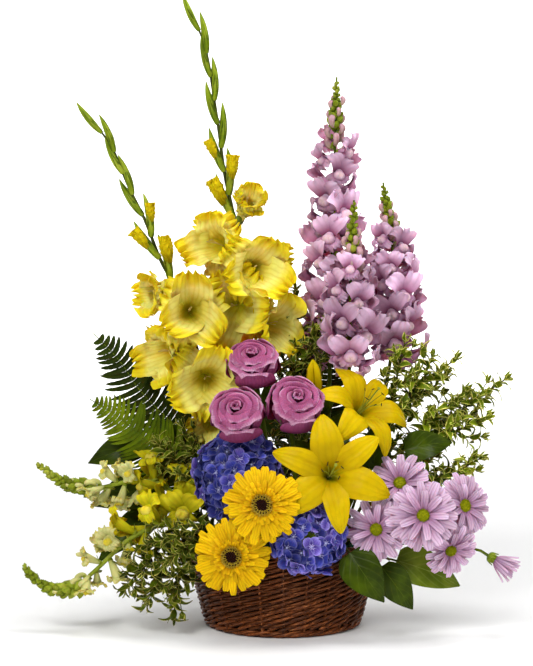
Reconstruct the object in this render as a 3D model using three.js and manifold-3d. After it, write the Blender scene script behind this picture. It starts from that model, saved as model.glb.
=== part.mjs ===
// A one-sided flower arrangement in a low wicker basket, in millimetres, +Z up.
// The origin is the centre of the basket's flat underside. The flowers face -Y.
// Every stem stands in a block of floral foam, which a liner holds in the basket.
import * as THREE from "three";
import { mergeVertices } from "three/addons/utils/BufferGeometryUtils.js";
import Module from "manifold-3d";

const wasm = await Module();
wasm.setup();

// ---------------------------------------------------------------- driving dimensions
const GAP = 0.35; // clearance kept between neighbouring pieces
const SEAT = 0.4; // the gap under a piece that rests inside another
const BASKET = { footRadius: 84, baseRadius: 88, rimRadius: 113, height: 94, wall: 5, floor: 5 };
const WEAVE = { stakes: 24, levels: 27, relief: 1.7, proud: 1.3 }; // each rod rises 2 levels a stake
const BORDER_STRANDS = 17;
const BORDER_SWELL = 0.16; // how much thicker a border is over a strand, as a share
const RIM = { radius: 111, z: 98.3, thick: 9, height: 8, sides: 6 }; // stands SEAT above the wall
const FOOT = { radius: 87.9, z: 4.6, thick: 7.5, height: 8, sides: 5 }; // rings the body's recess
const LINER = { thick: 1.6, clearance: 1.8, top: 90 };
const FOAM = { shoulder: 88, top: 104, clearance: 1.6, bevel: 12 };
const STEM_DEPTH = 76; // height of the ends of most stems, inside the foam
const END_GAP = 0.8; // between the end of a stem and the bloom it carries

const COLOURS = {
  wicker: 0x4a2716,
  wickerBorder: 0x5a3220,
  liner: 0x1d2b1a,
  foam: 0x2f6b3a,
  stem: 0x6d9a2c,
  gladiolus: 0xf3cf1b,
  lavender: 0xcf9ac6,
  rose: 0xb0609f,
  hydrangea: 0x3f3fae,
  gerbera: 0xf7b80a,
  lily: 0xf4d012,
  daisy: 0xc9a0cf,
  cream: 0xd9d470,
  fern: 0x2f5a12,
  salal: 0x23481a,
  variegated: 0x6d8a26,
};

// ---------------------------------------------------------------- small vector helpers
const v3 = (x, y, z) => new THREE.Vector3(x, y, z);
const UP = v3(0, 0, 1);
const TAU = 2 * Math.PI;
const rad = THREE.MathUtils.degToRad;
const mix = THREE.MathUtils.lerp;
const GOLDEN_ANGLE = rad(137.5);

// A seeded stream of numbers from 0 to 1.
function seeded(seed) {
  let state = seed;
  return () => {
    state = (state * 1664525 + 1013904223) % 4294967296;
    return state / 4294967296;
  };
}

// A frame at a point, its Z along facing, turned by spin about it.
function frameAt(at, facing, spin = 0) {
  const z = facing.clone().normalize();
  const hint = Math.abs(z.z) > 0.95 ? v3(0, 1, 0) : UP;
  const x = new THREE.Vector3().crossVectors(hint, z).normalize();
  const y = new THREE.Vector3().crossVectors(z, x);
  const frame = new THREE.Matrix4().makeBasis(x, y, z).setPosition(at);
  return frame.multiply(new THREE.Matrix4().makeRotationZ(spin));
}

const placed = (shape, matrix) => ({
  points: shape.points.map((p) => p.clone().applyMatrix4(matrix)),
  faces: shape.faces,
});

// ---------------------------------------------------------------- closed shapes as points and faces
// A sheet of triangles thickened to a closed blade, split alike on both faces.
function sheet(points, faces, thick) {
  const normals = points.map(() => v3(0, 0, 0));
  for (const [a, b, c] of faces) {
    const edge = points[b].clone().sub(points[a]);
    const n = edge.cross(points[c].clone().sub(points[a]));
    for (const i of [a, b, c]) normals[i].add(n);
  }
  normals.forEach((n) => n.normalize());
  const count = points.length;
  const shifted = (s) => points.map((p, i) => p.clone().addScaledVector(normals[i], s));
  const made = [];
  const edges = new Map();
  for (const [a, b, c] of faces) {
    made.push([a, b, c], [c + count, b + count, a + count]);
    for (const [p, q] of [[a, b], [b, c], [c, a]]) edges.set(p + "_" + q, [p, q]);
  }
  for (const [p, q] of edges.values())
    if (!edges.has(q + "_" + p)) made.push([q, p, p + count], [q, p + count, q + count]);
  return { points: [...shifted(thick / 2), ...shifted(-thick / 2)], faces: made };
}

// A ring of points about Z, each from [radius, height, turns round the axis].
function ring(count, at) {
  return Array.from({ length: count }, (_, k) => {
    const [r, z, turn = k / count] = at(k);
    return v3(r * Math.cos(turn * TAU), r * Math.sin(turn * TAU), z);
  });
}

// The triangles between two rings, given as the index of their first point and their counts.
function band(a, n, b, m) {
  const faces = [];
  let [i, j] = [0, 0];
  while (i < n || j < m) {
    const onward = Math.abs((i + 1) / n - j / m) < Math.abs(i / n - (j + 1) / m) - 1e-9;
    if (j === m || (onward && i < n)) {
      faces.push([a + (i % n), a + ((i + 1) % n), b + (j % m)]);
      i++;
    } else {
      faces.push([a + (i % n), b + ((j + 1) % m), b + (j % m)]);
      j++;
    }
  }
  return faces;
}

// A closed skin over rings about Z, from a lower pole to an upper one. Under and over an edge
// the bands are split alike, because each is split from its narrower ring.
function skin(lower, rings, upper) {
  const points = [lower, ...rings.flat(), upper];
  const width = (loop) => loop.reduce((sum, p) => sum + Math.hypot(p.x, p.y), 0) / loop.length;
  const round = (start, n, pole) =>
    Array.from({ length: n }, (_, k) => [start + k, start + ((k + 1) % n), pole]);
  const flipped = (faces) => faces.map(([p, q, r]) => [p, r, q]);
  const faces = flipped(round(1, rings[0].length, 0));
  let [from, n] = [1, rings[0].length];
  rings.slice(1).forEach((loop, i) => {
    const [to, m] = [from + n, loop.length];
    if (width(rings[i]) <= width(loop)) faces.push(...band(from, n, to, m));
    else faces.push(...flipped(band(to, m, from, n)));
    [from, n] = [to, m];
  });
  faces.push(...round(from, n, points.length - 1));
  return { points, faces };
}

// A pad over an outline that runs anticlockwise seen from its top point.
function pad(outline, top, bottom) {
  const n = outline.length;
  const faces = outline.flatMap((_, k) => [[k, (k + 1) % n, n], [(k + 1) % n, k, n + 1]]);
  return { points: [...outline, top, bottom], faces };
}

// A bud or bract from root to tip, widest at belly of its length.
function budPad(root, tip, up, width, thick, belly = 0.55) {
  const along = tip.clone().sub(root);
  const side = new THREE.Vector3().crossVectors(up, along).setLength(width / 2);
  const lift = new THREE.Vector3().crossVectors(along, side).setLength(thick / 2);
  const middle = root.clone().addScaledVector(along, belly);
  const outline = [root.clone(), middle.clone().sub(side), tip.clone(), middle.clone().add(side)];
  return pad(outline, middle.clone().add(lift), middle.clone().sub(lift));
}

// A small folded leaf with four faces, keeled under its midrib.
function foldedLeaf(root, tip, up, width, keel) {
  const along = tip.clone().sub(root);
  const side = new THREE.Vector3().crossVectors(up, along).setLength(width / 2);
  const lift = new THREE.Vector3().crossVectors(along, side).setLength(keel);
  const middle = root.clone().addScaledVector(along, 0.5).add(lift);
  const points = [root.clone(), middle.clone().sub(side), tip.clone(), middle.clone().add(side)];
  return { points, faces: [[0, 1, 3], [1, 2, 3], [0, 2, 1], [0, 3, 2]] };
}

// A broad leaf on a short stalk from a twig, crowned along its midrib, thin at its waved edge.
function broadLeaf(from, { root, tip, up, width, thick = 2.4, droop = 7, wave = 2 }) {
  const along = tip.clone().sub(root);
  const side = new THREE.Vector3().crossVectors(up, along).normalize();
  const lift = new THREE.Vector3().crossVectors(along, side).normalize();
  const on = (u, s, h) =>
    root.clone().addScaledVector(along, u).addScaledVector(side, s)
      .addScaledVector(lift, h + droop * Math.sin(u * Math.PI));
  const stations = [0, 0.2, 0.5, 0.8];
  const half = [1.6, 0.41 * width, 0.5 * width, 0.3 * width];
  const lifts = [0, -0.3 * wave, wave, -0.3 * wave];
  const fold = [0.2, 2, 2, 2];
  const n = stations.length;
  const edge = (hand) => stations.map((u, i) => on(u, hand * half[i], lifts[i]));
  const rib = (hand) => stations.map((u, i) => on(u, 0, (hand * thick) / 2 - fold[i]));
  const points = [from.clone(), on(1, 0, 0), ...edge(-1), ...edge(1), ...rib(1), ...rib(-1)];
  const [right, left, over, under] = [2, 2 + n, 2 + 2 * n, 2 + 3 * n];
  const leafFace = (mid) => {
    const made = [[0, right, mid], [0, mid, left]];
    made.push([mid + n - 1, right + n - 1, 1], [mid + n - 1, 1, left + n - 1]);
    for (let i = 0; i + 1 < n; i++) {
      made.push([mid + i, right + i, right + i + 1], [mid + i, right + i + 1, mid + i + 1]);
      made.push([mid + i, left + i + 1, left + i], [mid + i, mid + i + 1, left + i + 1]);
    }
    return made;
  };
  return { points, faces: [...leafFace(over), ...leafFace(under).map(([a, b, c]) => [a, c, b])] };
}

// The points and faces of a closed three.js geometry.
function fromGeometry(geometry, matrix = new THREE.Matrix4()) {
  const bare = geometry.index ? geometry.toNonIndexed() : geometry.clone();
  bare.deleteAttribute("normal");
  bare.deleteAttribute("uv");
  const merged = mergeVertices(bare.applyMatrix4(matrix), 1e-3);
  const position = merged.getAttribute("position");
  const points = [];
  for (let i = 0; i < position.count; i++)
    points.push(new THREE.Vector3().fromBufferAttribute(position, i));
  const index = merged.index.array;
  const faces = [];
  for (let i = 0; i < index.length; i += 3) {
    const [a, b, c] = [index[i], index[i + 1], index[i + 2]];
    if (a !== b && b !== c && c !== a) faces.push([a, b, c]);
  }
  return { points, faces };
}

// A smooth curve through points, as straight steps with a place and a direction at t from 0 to 1.
function spine(points, steps) {
  const curve = new THREE.CatmullRomCurve3(points);
  const stations = curve.getSpacedPoints(steps);
  const at = (t) => {
    const i = Math.min(steps - 1, Math.floor(t * steps));
    return stations[i].clone().lerp(stations[i + 1], t * steps - i);
  };
  return { curve, stations, steps, at, along: (t) => curve.getTangentAt(t) };
}

// Where along a spine, from 0 to 1, it passes closest to a point.
function nearestOn(line, p) {
  const SAMPLES = 200;
  const along = Array.from({ length: SAMPLES + 1 }, (_, i) => i / SAMPLES);
  const away = (t) => line.at(t).distanceTo(p);
  return along.reduce((best, t) => (away(t) < away(best) ? t : best));
}

// A stem along a spine, its radius from radiusAt(t), with flat ends.
function stem({ curve, stations, steps }, radiusAt, sides = 4) {
  const corners = ring(sides, () => [1, 0]).map((p) => new THREE.Vector2(p.x, p.y));
  const section = new THREE.Shape(corners);
  const tube = new THREE.ExtrudeGeometry(section, { steps, bevelEnabled: false, extrudePath: curve });
  const shape = fromGeometry(tube);
  for (const p of shape.points) {
    const gaps = stations.map((c) => c.distanceToSquared(p));
    const nearest = gaps.indexOf(Math.min(...gaps));
    const out = p.clone().sub(stations[nearest]);
    p.copy(stations[nearest]).addScaledVector(out, radiusAt(nearest / steps));
  }
  return shape;
}

function ellipsoid(at, facing, wide, deep, detail = 1) {
  const size = new THREE.Matrix4().makeScale(wide, wide, deep);
  const geometry = new THREE.IcosahedronGeometry(1, detail);
  return fromGeometry(geometry, frameAt(at, facing).multiply(size));
}

// ---------------------------------------------------------------- solids
function toSolid({ points, faces }) {
  const vertProperties = new Float32Array(points.flatMap((p) => [p.x, p.y, p.z]));
  const triVerts = new Uint32Array(faces.flat());
  return new wasm.Manifold(new wasm.Mesh({ numProp: 3, vertProperties, triVerts }));
}

// The direction that leads most evenly away from the faces round a point.
function wayOut(normals) {
  const ROUNDS = 24;
  const way = normals.reduce((sum, n) => sum.add(n), v3(0, 0, 0)).normalize();
  for (let i = 1; i <= ROUNDS; i++) {
    const worst = normals.reduce((low, n) => (n.dot(way) < low.dot(way) ? n : low));
    way.addScaledVector(worst, 1 / i).normalize();
  }
  return way;
}

// The shape with its faces moved out by about gap, and never inwards.
function grown({ points, faces }, gap) {
  const around = points.map(() => []);
  for (const [a, b, c] of faces) {
    const n = points[b].clone().sub(points[a]).cross(points[c].clone().sub(points[a]));
    if (n.lengthSq() > 0) for (const i of [a, b, c]) around[i].push(n.clone().normalize());
  }
  const LEAST_COSINE = 0.35;
  const moved = points.map((p, i) => {
    const way = wayOut(around[i]);
    const cosine = Math.min(...around[i].map((n) => n.dot(way)));
    return cosine > 0 ? p.clone().addScaledVector(way, gap / Math.max(LEAST_COSINE, cosine)) : p.clone();
  });
  return { points: moved, faces };
}

const joined = (shapes) => wasm.Manifold.union(shapes.map(toSolid));

function geometryOf(solid) {
  const { numProp, vertProperties, triVerts } = solid.getMesh();
  const count = vertProperties.length / numProp;
  const position = new Float32Array(count * 3);
  for (let i = 0; i < count; i++)
    position.set(vertProperties.subarray(i * numProp, i * numProp + 3), i * 3);
  const geometry = new THREE.BufferGeometry();
  geometry.setAttribute("position", new THREE.BufferAttribute(position, 3));
  geometry.setIndex(new THREE.BufferAttribute(triVerts, 1));
  geometry.computeVertexNormals();
  return geometry;
}

const largestBody = (solid) =>
  solid.decompose().reduce((best, body) => (body.volume() > best.volume() ? body : best));

const boxesMeet = (a, b) =>
  [0, 1, 2].every((k) => a.min[k] <= b.max[k] && b.min[k] <= a.max[k]);

// ---------------------------------------------------------------- the arrangement's pieces
const arrangement = new THREE.Group();
const settled = []; // pieces in place, each with the clearance that later ones keep from it

// Adds a node of fused shapes, cut back from what is already in place.
function add(name, colour, shapes, roughness = 0.6) {
  let body = joined(shapes);
  const clearance = joined(shapes.map((s) => grown(s, GAP)));
  const box = clearance.boundingBox();
  const near = settled.filter((other) => boxesMeet(box, other.box));
  for (const other of near) body = body.subtract(other.clearance);
  body = largestBody(body);
  settled.push({ name, clearance, box });
  const material = new THREE.MeshStandardMaterial({ color: colour, roughness, metalness: 0 });
  const mesh = new THREE.Mesh(geometryOf(body), material);
  mesh.name = name;
  arrangement.add(mesh);
}

// ---------------------------------------------------------------- basket, liner and foam
const wallRadius = (z) => mix(BASKET.baseRadius, BASKET.rimRadius, z / BASKET.height);
const innerRadius = (z) =>
  mix(BASKET.footRadius, BASKET.rimRadius, z / BASKET.height) - BASKET.wall;

// Floor and wall in one weave. The rods rise to the right at two levels a stake, so at any stake
// every other level has a rod in front, which stands out, and the levels between lie back.
function basketBody() {
  const columns = WEAVE.stakes;
  const points = [];
  const loop = (z, radiusAt) => {
    for (let k = 0; k < columns; k++) {
      const a = (k / columns) * TAU;
      points.push(v3(radiusAt(k) * Math.cos(a), radiusAt(k) * Math.sin(a), z));
    }
  };
  const footTop = FOOT.height * (1 + BORDER_SWELL) + 0.6;
  loop(0, () => BASKET.footRadius);
  loop(footTop, () => BASKET.footRadius);
  for (let i = 0; i <= WEAVE.levels; i++) {
    const z = mix(footTop + 1, BASKET.height, i / WEAVE.levels);
    const atEdge = i === 0 || i === WEAVE.levels;
    const rod = (k) => WEAVE.proud + ((i + k) % 2 ? -WEAVE.relief : WEAVE.relief);
    loop(z, (k) => wallRadius(z) + (atEdge ? 0 : rod(k)));
  }
  loop(BASKET.height, () => innerRadius(BASKET.height));
  loop(BASKET.floor, () => innerRadius(BASKET.floor));
  const rings = WEAVE.levels + 5;
  const faces = [];
  for (let i = 0; i + 1 < rings; i++)
    for (let k = 0; k < columns; k++) {
      const next = (k + 1) % columns;
      const [a, b] = [i * columns + k, i * columns + next];
      const [d, c] = [a + columns, b + columns];
      if ((i + k) % 2) faces.push([a, b, d], [b, c, d]);
      else faces.push([a, b, c], [a, c, d]);
    }
  const [underside, inside] = [points.length, points.length + 1];
  points.push(v3(0, 0, 0), v3(0, 0, BASKET.floor));
  for (let k = 0; k < columns; k++) {
    const next = (k + 1) % columns;
    const top = (rings - 1) * columns;
    faces.push([underside, next, k], [inside, top + k, top + next]);
  }
  return { points, faces };
}

// A border of strands twisted round a ring.
function twistedRing({ radius, z, thick, height, sides }) {
  const around = 2 * BORDER_STRANDS;
  const points = [];
  for (let k = 0; k < around; k++)
    for (let j = 0; j < sides; j++) {
      const a = (k / around) * TAU;
      const b = (j / sides) * TAU;
      const swell = 1 + BORDER_SWELL * Math.cos(Math.PI * k + b * 2);
      const r = radius + (thick / 2) * swell * Math.cos(b);
      points.push(v3(r * Math.cos(a), r * Math.sin(a), z + (height / 2) * swell * Math.sin(b)));
    }
  const faces = [];
  for (let k = 0; k < around; k++)
    for (let j = 0; j < sides; j++) {
      const [p, q] = [k * sides, ((k + 1) % around) * sides];
      const next = (j + 1) % sides;
      faces.push([p + j, q + j, q + next], [p + j, q + next, p + next]);
    }
  return { points, faces };
}

function turned(profile) {
  const SEGMENTS = 20;
  const geometry = new THREE.LatheGeometry(profile.map(([r, z]) => new THREE.Vector2(r, z)), SEGMENTS);
  return fromGeometry(geometry, new THREE.Matrix4().makeRotationX(Math.PI / 2));
}

function linerCup() {
  const bottom = BASKET.floor + SEAT;
  const outer = (z) => innerRadius(z) - LINER.clearance;
  return turned([
    [0, bottom],
    [outer(bottom), bottom],
    [outer(LINER.top), LINER.top],
    [outer(LINER.top) - LINER.thick, LINER.top],
    [outer(bottom) - LINER.thick, bottom + LINER.thick],
    [0, bottom + LINER.thick],
  ]);
}

function foamBlock() {
  const bottom = BASKET.floor + LINER.thick + 2 * SEAT;
  const side = (z) => innerRadius(z) - LINER.clearance - LINER.thick - FOAM.clearance;
  return turned([
    [0, bottom],
    [side(bottom), bottom],
    [side(FOAM.shoulder), FOAM.shoulder],
    [side(FOAM.shoulder) - FOAM.bevel, FOAM.top],
    [0, FOAM.top],
  ]);
}

// ---------------------------------------------------------------- blooms
// How far out the edge of a lobed bloom is at an angle in turns: 0 in a notch, 1 at a tip.
const lobe = (turn, count, shift) => Math.sqrt(Math.abs(Math.sin(Math.PI * (turn * count + shift))));

// The radius of a gladiolus stem from its foot to its tip.
const gladiolusRadius = (t) => mix(4.6, 1.6, t);

// A gladiolus floret: a funnel from its seat on the spike, opening into six ruffled tepals.
function gladiolusFloret(line, { seat: near, mouth, radius, spin = 0, open = 1 }) {
  const t = nearestOn(line, near);
  const off = gladiolusRadius(t) * 0.9 + GAP;
  const seat = line.at(t).addScaledVector(mouth.clone().sub(line.at(t)).normalize(), off);
  const axis = mouth.clone().sub(seat);
  const length = axis.length();
  const wide = radius * open;
  const throat = -length * 0.24;
  const wall = wide < 15 ? 4 : 0; // a steep funnel takes its thickness from the radius
  const belly = 1 + wall; // how much wider than its share of the mouth the throat is
  const ruffle = (k) => [0, 3.4, -1.5, -1][k % 4];
  const inner = (k) => (Math.floor(k / 4) % 2 ? 2 : -2);
  const tepalEdge = ring(24, (k) => {
    const out = [0.5, 0.9, 1, 0.9][k % 4];
    const droop = k % 4 === 2 ? 5 * open : 0;
    const across = (k + [0, -0.35, 0, 0.35][k % 4]) / 24;
    return [wide * out, ruffle(k) - droop + (k % 4 ? inner(k) : -4), across];
  });
  const rings = [
    ring(6, () => [2.6, 1.5 - length]),
    ring(6, () => [8.5, -length * 0.55]),
    ring(12, (k) => [wide * (k % 2 ? 0.5 : 0.36) + belly, throat + (k % 2 ? -1.5 : 0)]),
    tepalEdge,
    ring(12, (k) => [wide * (k % 2 ? 0.48 : 0.34) + belly - wall, throat + (k % 2 ? 1 : 2.5)]),
    ring(6, () => [6 - wall * 0.7, -length * 0.5]),
    ring(3, () => [1.4, -length * 0.45]),
  ];
  const shape = skin(v3(0, 0, -length), rings, v3(2, 4, -length * 0.02));
  return [placed(shape, frameAt(mouth, axis, spin))];
}

// A rose: lobed rounds of petals, each standing higher inside the last, round a closed heart.
function rose({ at, facing, radius }) {
  const petals = 5;
  const rounds = [
    { out: 1, notch: 0.8, rim: 0.02, dip: 0.1, shift: 0, valley: 0.64, floor: -0.14 },
    { out: 0.79, notch: 0.66, rim: 0.22, dip: 0.1, shift: 0.5, valley: 0.48, floor: 0.06 },
    { out: 0.56, notch: 0.46, rim: 0.38, dip: 0.08, shift: 0, valley: 0.3, floor: 0.2 },
  ];
  const rings = [
    ring(5, () => [radius * 0.34, -radius * 0.74]),
    ring(10, () => [radius * 0.8, -radius * 0.3]),
  ];
  for (const { out, notch, rim, dip, shift, valley, floor } of rounds) {
    const count = out > 0.6 ? 20 : 15;
    rings.push(ring(count, (k) => {
      const tip = lobe(k / count, petals, shift);
      return [radius * mix(notch, out, tip), radius * (rim + dip * (tip - 0.5))];
    }));
    rings.push(ring(out > 0.6 ? 10 : 5, () => [radius * valley, radius * floor]));
  }
  rings.push(ring(5, (k) => [radius * 0.2, radius * (k % 2 ? 0.5 : 0.42)]));
  const shape = skin(v3(0, 0, -radius * 0.8), rings, v3(0, 0, radius * 0.4));
  return [placed(shape, frameAt(at, facing))];
}

// A mophead: four-lobed florets standing all over a domed core.
function hydrangeaHead({ at, facing, radius, deep, florets, neck }) {
  const frame = frameAt(at, facing);
  const core = 0.86; // of the head's size
  const coverage = 1.22; // how far round the dome the florets reach, 1 being half of it
  const size = radius * 0.28;
  const shapes = [
    placed(ellipsoid(v3(0, 0, 0), UP, radius * core, deep * core), frame),
    stem(spine([neck, neck.clone().lerp(at, 0.5), at.clone()], 1), () => 3.5),
  ];
  const outline = ring(8, (i) => [i % 2 ? size * 0.5 : size, i % 2 ? 0 : 1.5]);
  const floret = pad(outline, v3(0, 0, 0.5), v3(0, 0, -8));
  for (let k = 0; k < florets; k++) {
    const polar = Math.acos(1 - (coverage * (k + 0.4)) / florets);
    const a = k * GOLDEN_ANGLE;
    const n = v3(Math.sin(polar) * Math.cos(a), Math.sin(polar) * Math.sin(a), Math.cos(polar));
    const normal = v3(n.x / radius, n.y / radius, n.z / deep).normalize();
    const p = v3(n.x * radius, n.y * radius, n.z * deep).multiplyScalar(core);
    p.addScaledVector(normal, 3);
    shapes.push(placed(placed(floret, frameAt(p, normal, a * 3)), frame));
  }
  return shapes;
}

// A gerbera or daisy: two rounds of blunt rays, the inner one raised, round a domed disc.
function rayBloom({ at, facing, radius, disc, depth }, { rays, notch, inner, lift, droop }) {
  const edge = (out, cut, z, shift) => ring(3 * rays, (k) => {
    const turn = (Math.floor(k / 3) + [0, 0.22, 0.78][k % 3] + shift) / rays;
    const wobble = 1 + 0.05 * Math.sin(Math.floor(k / 3) * 5.3);
    return k % 3 ? [radius * out * wobble, z - droop, turn] : [radius * cut, z, turn];
  });
  const rings = [
    edge(1, notch, 0, 0),
    ring(rays, () => [radius * notch * 0.8, depth * 0.5]),
    edge(inner, notch * 0.9, lift, 0.4),
    ring(rays, () => [disc, lift * 0.7]),
    ring(rays / 2, () => [disc * 0.7, lift + disc * 0.3]),
  ];
  const shape = skin(v3(0, 0, -depth), rings, v3(0, 0, lift + disc * 0.3));
  return [placed(shape, frameAt(at, facing))];
}

// A trumpet lily: six tepals from a short throat, rolled back at their tips, with its stamens.
function lily({ at, facing, radius, spin, throatDepth, curl }) {
  const frame = frameAt(at, facing, spin);
  const ribs = (lift) => ring(12, (k) =>
    k % 2 ? [radius * 0.56, lift - 1 + 4 * curl] : [radius * 0.2, lift - throatDepth * 0.3]);
  const tepalEdge = ring(24, (k) => {
    const inner = Math.floor(k / 4) % 2 ? 1 : -1;
    const half = inner > 0 ? 0.42 : 0.3; // of a sixth of a turn
    const sixth = Math.floor(k / 4) + 0.5;
    return [
      [radius * 0.24, -throatDepth * 0.2, (sixth - 0.5) / 6],
      [radius * 0.6, 6 + 2 * inner, (sixth - half) / 6],
      [radius, -radius * 0.28 * curl, sixth / 6],
      [radius * 0.6, 6 + 2 * inner, (sixth + half) / 6],
    ][k % 4];
  });
  const rings = [
    ring(6, () => [3.5, 1 - throatDepth]),
    ring(6, () => [7, -throatDepth * 0.6]),
    ribs(-1.2),
    tepalEdge,
    ribs(1.2),
    ring(6, () => [5, -throatDepth * 0.5]),
    ring(3, () => [1.6, -throatDepth * 0.4]),
  ];
  const shapes = [placed(skin(v3(0, 0, -throatDepth), rings, v3(0, 0, radius * 0.5)), frame)];
  for (let k = 0; k < 6; k++) {
    const out = ring(6, () => [1, 0])[k];
    const root = out.clone().multiplyScalar(2).setZ(-throatDepth * 0.55);
    const tip = out.clone().multiplyScalar(15).setZ(radius * 0.4);
    const side = new THREE.Vector3().crossVectors(out, UP);
    shapes.push(placed(foldedLeaf(root, tip, side, 3, 2.4), frame));
  }
  return shapes;
}

function lilyBud({ root, tip }) {
  const axis = tip.clone().sub(root);
  const length = axis.length();
  const rings = [
    ring(6, () => [3, 0.5]),
    ring(6, () => [7.5, length * 0.4]),
    ring(6, () => [5, length * 0.8]),
  ];
  return placed(skin(v3(0, 0, 0), rings, v3(0, 0, length)), frameAt(root, axis));
}

// A snapdragon floret: a pouched tube with a standing upper lip and a spreading lower one.
function snapFloret(root, outward, size) {
  const lips = [[0.5, 0], [0.4, 0.62], [-0.4, 0.62], [-0.5, 0], [-0.34, -0.6], [0.34, -0.6]];
  const rings = [
    ring(4, (k) => [size * 0.3, size * 0.42, (k + 0.5) / 4]),
    lips.map(([x, y]) => v3(x, y, y > 0.5 ? 0.72 : 0.86).multiplyScalar(size)),
  ];
  const shape = skin(v3(0, 0, 0), rings, v3(0, 0.1, 0.74).multiplyScalar(size));
  return placed(shape, frameAt(root, outward));
}

// The outward directions and places of florets in a spiral along a spine.
function spiralOn(line, count, from, to, radius) {
  return Array.from({ length: count }, (_, k) => {
    const t = mix(from, to, k / (count - 1));
    const along = line.along(t);
    const out = v3(1, 0, 0).transformDirection(frameAt(line.at(t), along, k * GOLDEN_ANGLE));
    return { along, out, root: line.at(t).addScaledVector(out, radius), share: k / count };
  });
}

function snapHead({ path, florets, size, from, to }) {
  const line = spine(path, 10);
  const core = Array.from({ length: 4 }, (_, i) => line.at(mix(from - 0.015, to, i / 3)));
  const shapes = [stem(spine(core, 4), (t) => mix(size * 0.42, size * 0.2, t), 5)];
  for (const { out, along, root, share } of spiralOn(line, florets, from, to - 0.02, 1)) {
    const outward = out.clone().addScaledVector(along, mix(-0.15, 0.5, share));
    shapes.push(snapFloret(root, outward, size * mix(1, 0.62, share ** 1.5)));
  }
  return shapes;
}

// The closed buds towards the tip of a spike, smaller and smaller.
function spikeBuds(line, { buds, size, to }) {
  return spiralOn(line, buds, to + 0.015, 0.985, 0.4).map(({ out, along, root, share }) => {
    const reach = size * mix(0.55, 0.26, share);
    const tip = root.clone().addScaledVector(out, reach).addScaledVector(along, reach * 0.9);
    return budPad(root, tip, along, reach * 0.7, reach * 0.65, 0.62);
  });
}

function snapStem({ path, ...spike }) {
  const line = spine(path, 10);
  return [stem(line, (t) => mix(3, 1, t)), ...spikeBuds(line, spike)];
}

// ---------------------------------------------------------------- spikes, stems and foliage
// The point so far behind a bloom, along its axis.
const behind = ({ at, facing }, distance) =>
  at.clone().addScaledVector(facing.clone().normalize(), -distance);

// A stem from the foam that comes up straight behind a bloom and ends at its seat.
function bloomStem({ entry, via, ...bloom }, turn, seat, radius) {
  return stem(spine([entry, via, behind(bloom, turn), behind(bloom, seat)], 6), () => radius);
}

// A rose's stem with its calyx of five sepals.
function roseStem(bloom) {
  const seat = 0.8 * bloom.radius;
  const frame = frameAt(behind(bloom, seat), bloom.facing);
  const sepals = ring(5, () => [bloom.radius * 0.62, -bloom.radius * 0.1]);
  const calyx = sepals.map((tip) => placed(foldedLeaf(v3(0, 0, -3), tip, UP, 8, 3), frame));
  return [bloomStem(bloom, 1.25 * bloom.radius, seat, 3.2), ...calyx];
}

// A lily's stem, branching to its blooms and bud.
function lilyStem({ entry, via, hub, front, side, bud }) {
  const shapes = [stem(spine([entry, via, hub], 3), () => 4)];
  for (const bloom of [front, side]) {
    const bend = hub.clone().lerp(behind(bloom, bloom.throatDepth * 1.5), 0.7);
    const end = behind(bloom, bloom.throatDepth + END_GAP);
    shapes.push(stem(spine([hub, bend, end], 4), () => 2.8));
  }
  const bend = hub.clone().lerp(bud.root, 0.6).add(v3(4, 4, 0));
  return [...shapes, stem(spine([hub, bend, bud.root], 3), () => 2.4)];
}

// A spray of daisies: one stem that divides at a hub, with a branch to each bloom.
function daisyStems({ entry, hub }, blooms) {
  const trunk = spine([entry, entry.clone().lerp(hub, 0.5).add(v3(0, 0, 8)), hub], 4);
  const branches = blooms.map((bloom, k) => {
    const fork = trunk.at(mix(0.98, 0.55, k / (blooms.length - 1)));
    const end = behind(bloom, bloom.depth + END_GAP);
    return stem(spine([fork, behind(bloom, 16), end], 3), () => 1.7, 3);
  });
  return [stem(trunk, () => 2.6), ...branches];
}

// A leaning spike whose florets stand apart, so it is one piece with its stem.
function openSpike({ path, from, florets, size, ...spike }) {
  const line = spine(path, 9);
  const shapes = [stem(line, (t) => mix(3, 1.3, t))];
  for (const { out, along, root } of spiralOn(line, florets, from, spike.to, 0.5)) {
    const outward = out.clone().addScaledVector(along, 0.4).add(v3(0, -0.3, 0.25));
    shapes.push(snapFloret(root, outward, size));
  }
  return [...shapes, ...spikeBuds(line, { size, ...spike })];
}

// A gladiolus spike: its stem and, below the tip, sheathed buds in turn on either side.
function gladiolusSpike(line, { buds, spacing, length }) {
  const total = line.curve.getLength();
  const shapes = [stem(line, gladiolusRadius, 5)];
  for (let k = 0; k < buds; k++) {
    const t = 1 - (k * spacing + length * 0.3) / total;
    const root = line.at(t);
    const along = line.along(t);
    const side = new THREE.Vector3().crossVectors(along, v3(0, -1, 0)).normalize();
    const lean = (k % 2 ? 1 : -1) * mix(0.06, 0.3, k / buds);
    const reach = length * mix(0.86, 1, k / buds);
    const tip = root.clone().addScaledVector(along, reach).addScaledVector(side, lean * reach);
    shapes.push(budPad(root, tip, v3(0, -1, 0), 12, 9, 0.36));
  }
  return shapes;
}

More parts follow.
